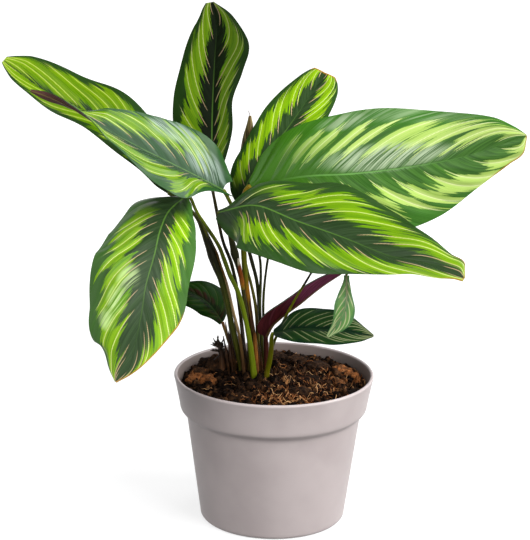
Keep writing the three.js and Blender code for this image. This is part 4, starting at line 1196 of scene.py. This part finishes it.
points, faces, tone = fibrePiece()
fibreRun = [(0.0, soil["dark"]), (0.4, (92, 52, 28)), (0.75, (170, 108, 62)), (1.0, (226, 178, 124))]
fibreSkin = soilMaterial("fibreSkin", fibreRun, grain=0.5)
makeMesh("soilFibres", points, faces, [fibreSkin], None, {"tone": tone})
print("soil made:", soil["crumbs"], "crumbs")


# Frayed bits at the top of the stub, thin dry whiskers at two leaf tips, and old sheaths round the crown: the
# start, bend, end and radius of each
frays = [
    [(-38.8, 11.5, 119.5), (-42.0, 9.5, 121.0), (-45.0, 9.0, 122.2), 1.3],
    [(-39.0, 11.0, 120.5), (-41.4, 9.0, 123.4), (-43.2, 9.0, 127.0), 1.2],
    [(-39.0, 11.4, 121.5), (-40.0, 10.0, 125.0), (-39.6, 10.8, 128.2), 1.2],
    [(-38.4, 11.4, 120.6), (-36.6, 9.6, 123.6), (-35.4, 9.4, 126.4), 1.1],
    [(-38.0, 11.0, 119.0), (-35.6, 8.6, 120.2), (-34.0, 8.2, 122.4), 0.9],
    [(-38.6, 10.4, 118.0), (-41.8, 7.4, 116.8), (-44.6, 6.6, 118.6), 1.1],
    [(-38.2, 10.0, 118.0), (-37.2, 7.0, 118.4), (-37.4, 6.0, 122.0), 1.2],
    [(-37.6, 10.8, 114.0), (-40.0, 8.4, 112.6), (-42.8, 7.8, 110.6), 1.0],
    [(-38.6, 11.0, 116.0), (-41.4, 9.6, 118.6), (-45.0, 9.4, 117.4), 1.5],
    [(-38.2, 10.6, 119.0), (-41.4, 9.2, 122.6), (-43.6, 9.6, 123.0), 1.9],
    [(-37.8, 11.0, 117.0), (-35.2, 9.6, 119.0), (-33.4, 9.6, 117.6), 1.6],
    [(-38.4, 10.8, 119.0), (-38.8, 9.4, 122.4), (-41.0, 9.2, 124.6), 1.9],
    [(-38.0, 10.8, 118.6), (-36.4, 9.4, 121.6), (-37.0, 9.2, 123.8), 1.8],
]
whiskers = [
    [(44.4, -17.4, 181.6), (47.4, -18.4, 184.0), (48.6, -18.8, 192.0), 0.42],
    [(-19.0, 64.0, 274.4), (-19.4, 63.8, 277.0), (-21.0, 63.4, 280.4), 0.4],
]
oldSheaths = [
    [(-27.5, 13, 98), (-29.5, 13, 114), (-32.5, 13, 131), 2.6],
    [(-23.5, 16, 98), (-25.5, 16, 118), (-28.5, 16, 140), 2.2],
    [(-18.5, 10, 98), (-20, 11, 116), (-24, 12, 138), 2.0],
    [(-32, 16, 98), (-33.5, 16, 108), (-36.5, 16, 118), 2.4],
    [(-31, 9.5, 97), (-32.5, 9.5, 112), (-36, 10, 128), 2.8],
    [(-28.2, 8, 97), (-30.5, 8, 116), (-34.5, 9, 139), 2.5],
    [(-26.5, 11.5, 97), (-29, 11.5, 118), (-33.5, 12, 147), 2.2],
    [(-18.6, 5.5, 97), (-19.6, 6.5, 110), (-22.4, 7, 127), 1.6],
    [(-14.5, 9, 98), (-15.5, 9, 112), (-16.5, 9, 128), 1.6],
    [(-8, 8, 98), (-8.5, 8, 108), (-9.5, 8, 120), 1.7],
    [(-1, 8, 97), (1, 7, 104), (4.5, 6, 113), 1.7],
]


def threadPiece(name, lines, look):
    rows, sides, seed = 12, 6, 60
    shares = np.linspace(0, 1, rows)[:, None]
    allPoints, allFaces, places = [], [], []
    for k, (start, bend, end, radius) in enumerate(lines):
        start, bend, end = np.array(start), np.array(bend), np.array(end)
        centre = start * (1 - shares) ** 2 + bend * 2 * shares * (1 - shares) + end * shares**2
        own = np.random.default_rng(seed + k)
        ragged = (1 + own.uniform(-0.35, 0.35, rows)) * (1 - 0.8 * shares[:, 0] ** 3)
        points, faces = thread(centre, radius * ragged, sides, flat=0.5, start=k * rows * sides)
        allPoints.append(points)
        allFaces += faces
        places.append(np.repeat(shares[:, 0], sides))
    points = np.vstack(allPoints)
    numbers = {
        "along": np.concatenate(places),
        "rimX": points[:, 0], "rimY": points[:, 1], "lengthwise": points[:, 2],
    }
    piece = makeMesh(name, points, allFaces, [stalkMaterial(name + "Skin", look)], None, numbers)


threadPiece("stubFrays", frays, {
    "run": [(0.0, (26, 18, 13)), (1.0, (20, 15, 12))], "streak": (84, 62, 44),
})
threadPiece("oldSheaths", oldSheaths, {
    "run": [(0.0, (34, 20, 10)), (0.6, (44, 26, 14)), (1.0, (36, 24, 14))], "streak": (90, 58, 30),
})
threadPiece("tipWhiskers", whiskers, {
    "run": [(0.0, (70, 32, 36)), (1.0, (60, 34, 26))], "streak": (110, 70, 50),
})
print("dry bits made:", len(frays) + len(oldSheaths) + len(whiskers))


# Pot: a turned wall with a step under the rim band, as radii and heights up the outside and down the inside
pot = {
    "outside": [
        [0, 0], [20, 0], [44, 0], [48.2, 0], [49.4, 0.2], [50.2, 0.5], [50.7, 1.0], [51.1, 1.7], [51.3, 2.8],
        [51.4, 4], [53.7, 21], [56.1, 39], [58.5, 57], [60.9, 74.2], [61.1, 75.7], [61.5, 76.8],
        [62.3, 77.8], [63.5, 78.8], [64.6, 79.7], [65.3, 80.7], [65.7, 81.8], [66, 84], [67.6, 92.5],
        [69.4, 101.6], [69.75, 102.9], [69.95, 103.6], [69.9, 104.2], [69.6, 104.7], [69.2, 104.95],
    ],
    "inside": [
        [68.7, 105], [68.2, 104.9], [67.8, 104.6], [67.5, 104.0], [67.3, 103.2], [65.6, 93.5], [63.8, 83.7],
        [63.3, 82.1], [61.3, 80.1], [59.1, 78.4], [54.2, 41], [49.4, 5], [47.4, 2.4], [20, 2], [0, 2],
    ],
    "around": 200, "colour": srgb(174, 163, 162), "shade": srgb(162, 151, 150),
    # the inside colour is a painted shade: the inside wall is drawn darker than the outside
    "inner": srgb(122, 110, 105),
}


def potPiece():
    profile = pot["outside"] + pot["inside"]
    around, rows = pot["around"], len(profile) - 2
    points = rings(profile[1:-1], evenAngles(around))
    count = len(points)
    points = np.vstack([points, [[0, 0, profile[0][1]], [0, 0, profile[-1][1]]]])
    faces = gridFaces(rows, around, closed=True).tolist()
    faces += fan(count, 0, around, flip=True) + fan(count + 1, count - around, around)
    outer = len(pot["outside"]) + 2  # the first rows of the rim count as outside too
    # inside marks the rows that take the painted shade of the inside wall
    inside = np.concatenate([np.repeat(np.arange(rows) >= outer, around), [0, 1]]).astype(float)
    return points, faces, inside


def potMaterial():
    material, wire = startMaterial("potPlastic")
    [inside] = attributes(wire, "inside")
    spot = ownPlace(wire)
    haze = cloud(spot, scale=22.0, detail=3.0)
    grain = cloud(spot, scale=1500.0)
    colour = mixColours(between(haze, 0.3, 0.7), pot["shade"], pot["colour"])
    # the inside wall takes the darker colour, a painted shade
    colour = mixColours(inside, colour, pot["inner"])
    return finishMaterial(material, colour, 0.5 + (haze - 0.5) * 0.2, grain, relief=0.12, depth=0.15 * mm)


points, faces, inside = potPiece()
potShell = makeMesh("potShell", points, faces, [potMaterial()], None, {"inside": inside})
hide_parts("pot")
print("pot made")


# Studio: a white floor that turns up into a backdrop, soft lights, and a dim surround, all in metres
studio = {
    "sweep": [(0.6, 0.0), (5.5, 0.0), (6.7, 0.15), (7.4, 0.55), (7.85, 1.3), (8.0, 2.3), (8.0, 7.0)],
    "around": 96, "floorHeight": -0.0002, "floorColour": (0.34, 0.34, 0.34, 1), "nearGlow": 0.67,
    "farGlow": 1.03, "glowFrom": 0.25, "glowTo": 0.9,
    "world": (0.92, 0.96, 1.0, 1), "worldStrength": 0.1,
    # azimuth from the camera's side, positive to the right; elevation; metres away; width and height; power
    "key": {"azimuth": 60, "elevation": 34, "away": 1.35, "size": (1.5, 1.3), "power": 42},
    "left": {"azimuth": -48, "elevation": 42, "away": 1.6, "size": (1.0, 1.0), "power": 17},
    "front": {"azimuth": 4, "elevation": 6, "away": 1.6, "size": (1.2, 0.5), "power": 6.5},
    "back": {"azimuth": 128, "elevation": 30, "away": 1.35, "size": (0.9, 0.9), "power": 9},
    "aim": (0.0, 0.0, 0.18),
}


def areaLight(name, spec):
    light = bpy.data.lights.new(name, "AREA")
    light.shape = "RECTANGLE"
    light.size, light.size_y = spec["size"]
    light.energy = spec["power"]
    lamp = bpy.data.objects.new(name, light)
    turn, tilt = math.radians(spec["azimuth"]), math.radians(spec["elevation"])
    way = Vector((math.sin(turn) * math.cos(tilt), -math.cos(turn) * math.cos(tilt), math.sin(tilt)))
    lamp.location = Vector(studio["aim"]) + way * spec["away"]
    lamp.rotation_mode = "QUATERNION"
    lamp.rotation_quaternion = (-way).to_track_quat("-Z", "Y")
    bpy.context.scene.collection.objects.link(lamp)


def floorPiece():
    sweep, around = studio["sweep"], studio["around"]
    points = rings(sweep, evenAngles(around))
    faces = [list(range(around)), *gridFaces(len(sweep), around, closed=True).tolist()]
    mesh = bpy.data.meshes.new("studioFloor")
    mesh.from_pydata(points.tolist(), [], faces)
    material, wire = startMaterial("floorWhite")
    spot = ownPlace(wire)
    away = spot.node("VectorMath", {"operation": "LENGTH"}, {0: spot}, output=1)
    near, far = ((studio[title],) * 3 + (1.0,) for title in ("nearGlow", "farGlow"))
    # the floor stays white where the lights don't reach
    glow = mixColours(between(away, studio["glowFrom"], studio["glowTo"]), near, far)
    finishMaterial(material, studio["floorColour"], 0.9, Emission_Color=glow, Emission_Strength=1.0)
    mesh.materials.append(material)
    floor = bpy.data.objects.new("studioFloor", mesh)
    floor.location.z = studio["floorHeight"]
    floor.visible_diffuse = False  # its glow shows white to the camera and doesn't light the plant
    bpy.context.scene.collection.objects.link(floor)


floorPiece()
for title in ("key", "left", "front", "back"):
    areaLight(title + "Light", studio[title])
world = bpy.data.worlds.new("studioWorld")
world.use_nodes = True
world.node_tree.nodes["Background"].inputs["Color"].default_value = studio["world"]
world.node_tree.nodes["Background"].inputs["Strength"].default_value = studio["worldStrength"]
bpy.context.scene.world = world
bpy.context.scene.view_settings.view_transform = "Standard"

# Camera: millimetres and degrees, with the focal length and the picture's side in pixels
shot = {
    "target": (-7.1, 0.0, 179.4), "distance": 1300.0, "pitch": 15.72, "roll": 0.69,
    "focal": 1881.0, "pictureSide": 540.0, "sensor": 36.0,
}
pitch, roll = math.radians(shot["pitch"]), math.radians(shot["roll"])
forward = Vector((0, math.cos(pitch), -math.sin(pitch)))
right = Vector((1, 0, 0))
above = right.cross(forward)
turnedRight = right * math.cos(roll) + above * math.sin(roll)
turnedUp = above * math.cos(roll) - right * math.sin(roll)
at = (Vector(shot["target"]) - forward * shot["distance"]) * mm
camera = bpy.data.objects.new("camera", bpy.data.cameras.new("camera"))
camera.data.sensor_width = shot["sensor"]
camera.data.lens = shot["sensor"] * shot["focal"] / shot["pictureSide"]
camera.data.clip_end = 20.0
camera.matrix_world = Matrix((
    (turnedRight.x, turnedUp.x, -forward.x, at.x),
    (turnedRight.y, turnedUp.y, -forward.y, at.y),
    (turnedRight.z, turnedUp.z, -forward.z, at.z),
    (0, 0, 0, 1),
))
bpy.context.scene.collection.objects.link(camera)
bpy.context.scene.camera = camera
print("studio made")
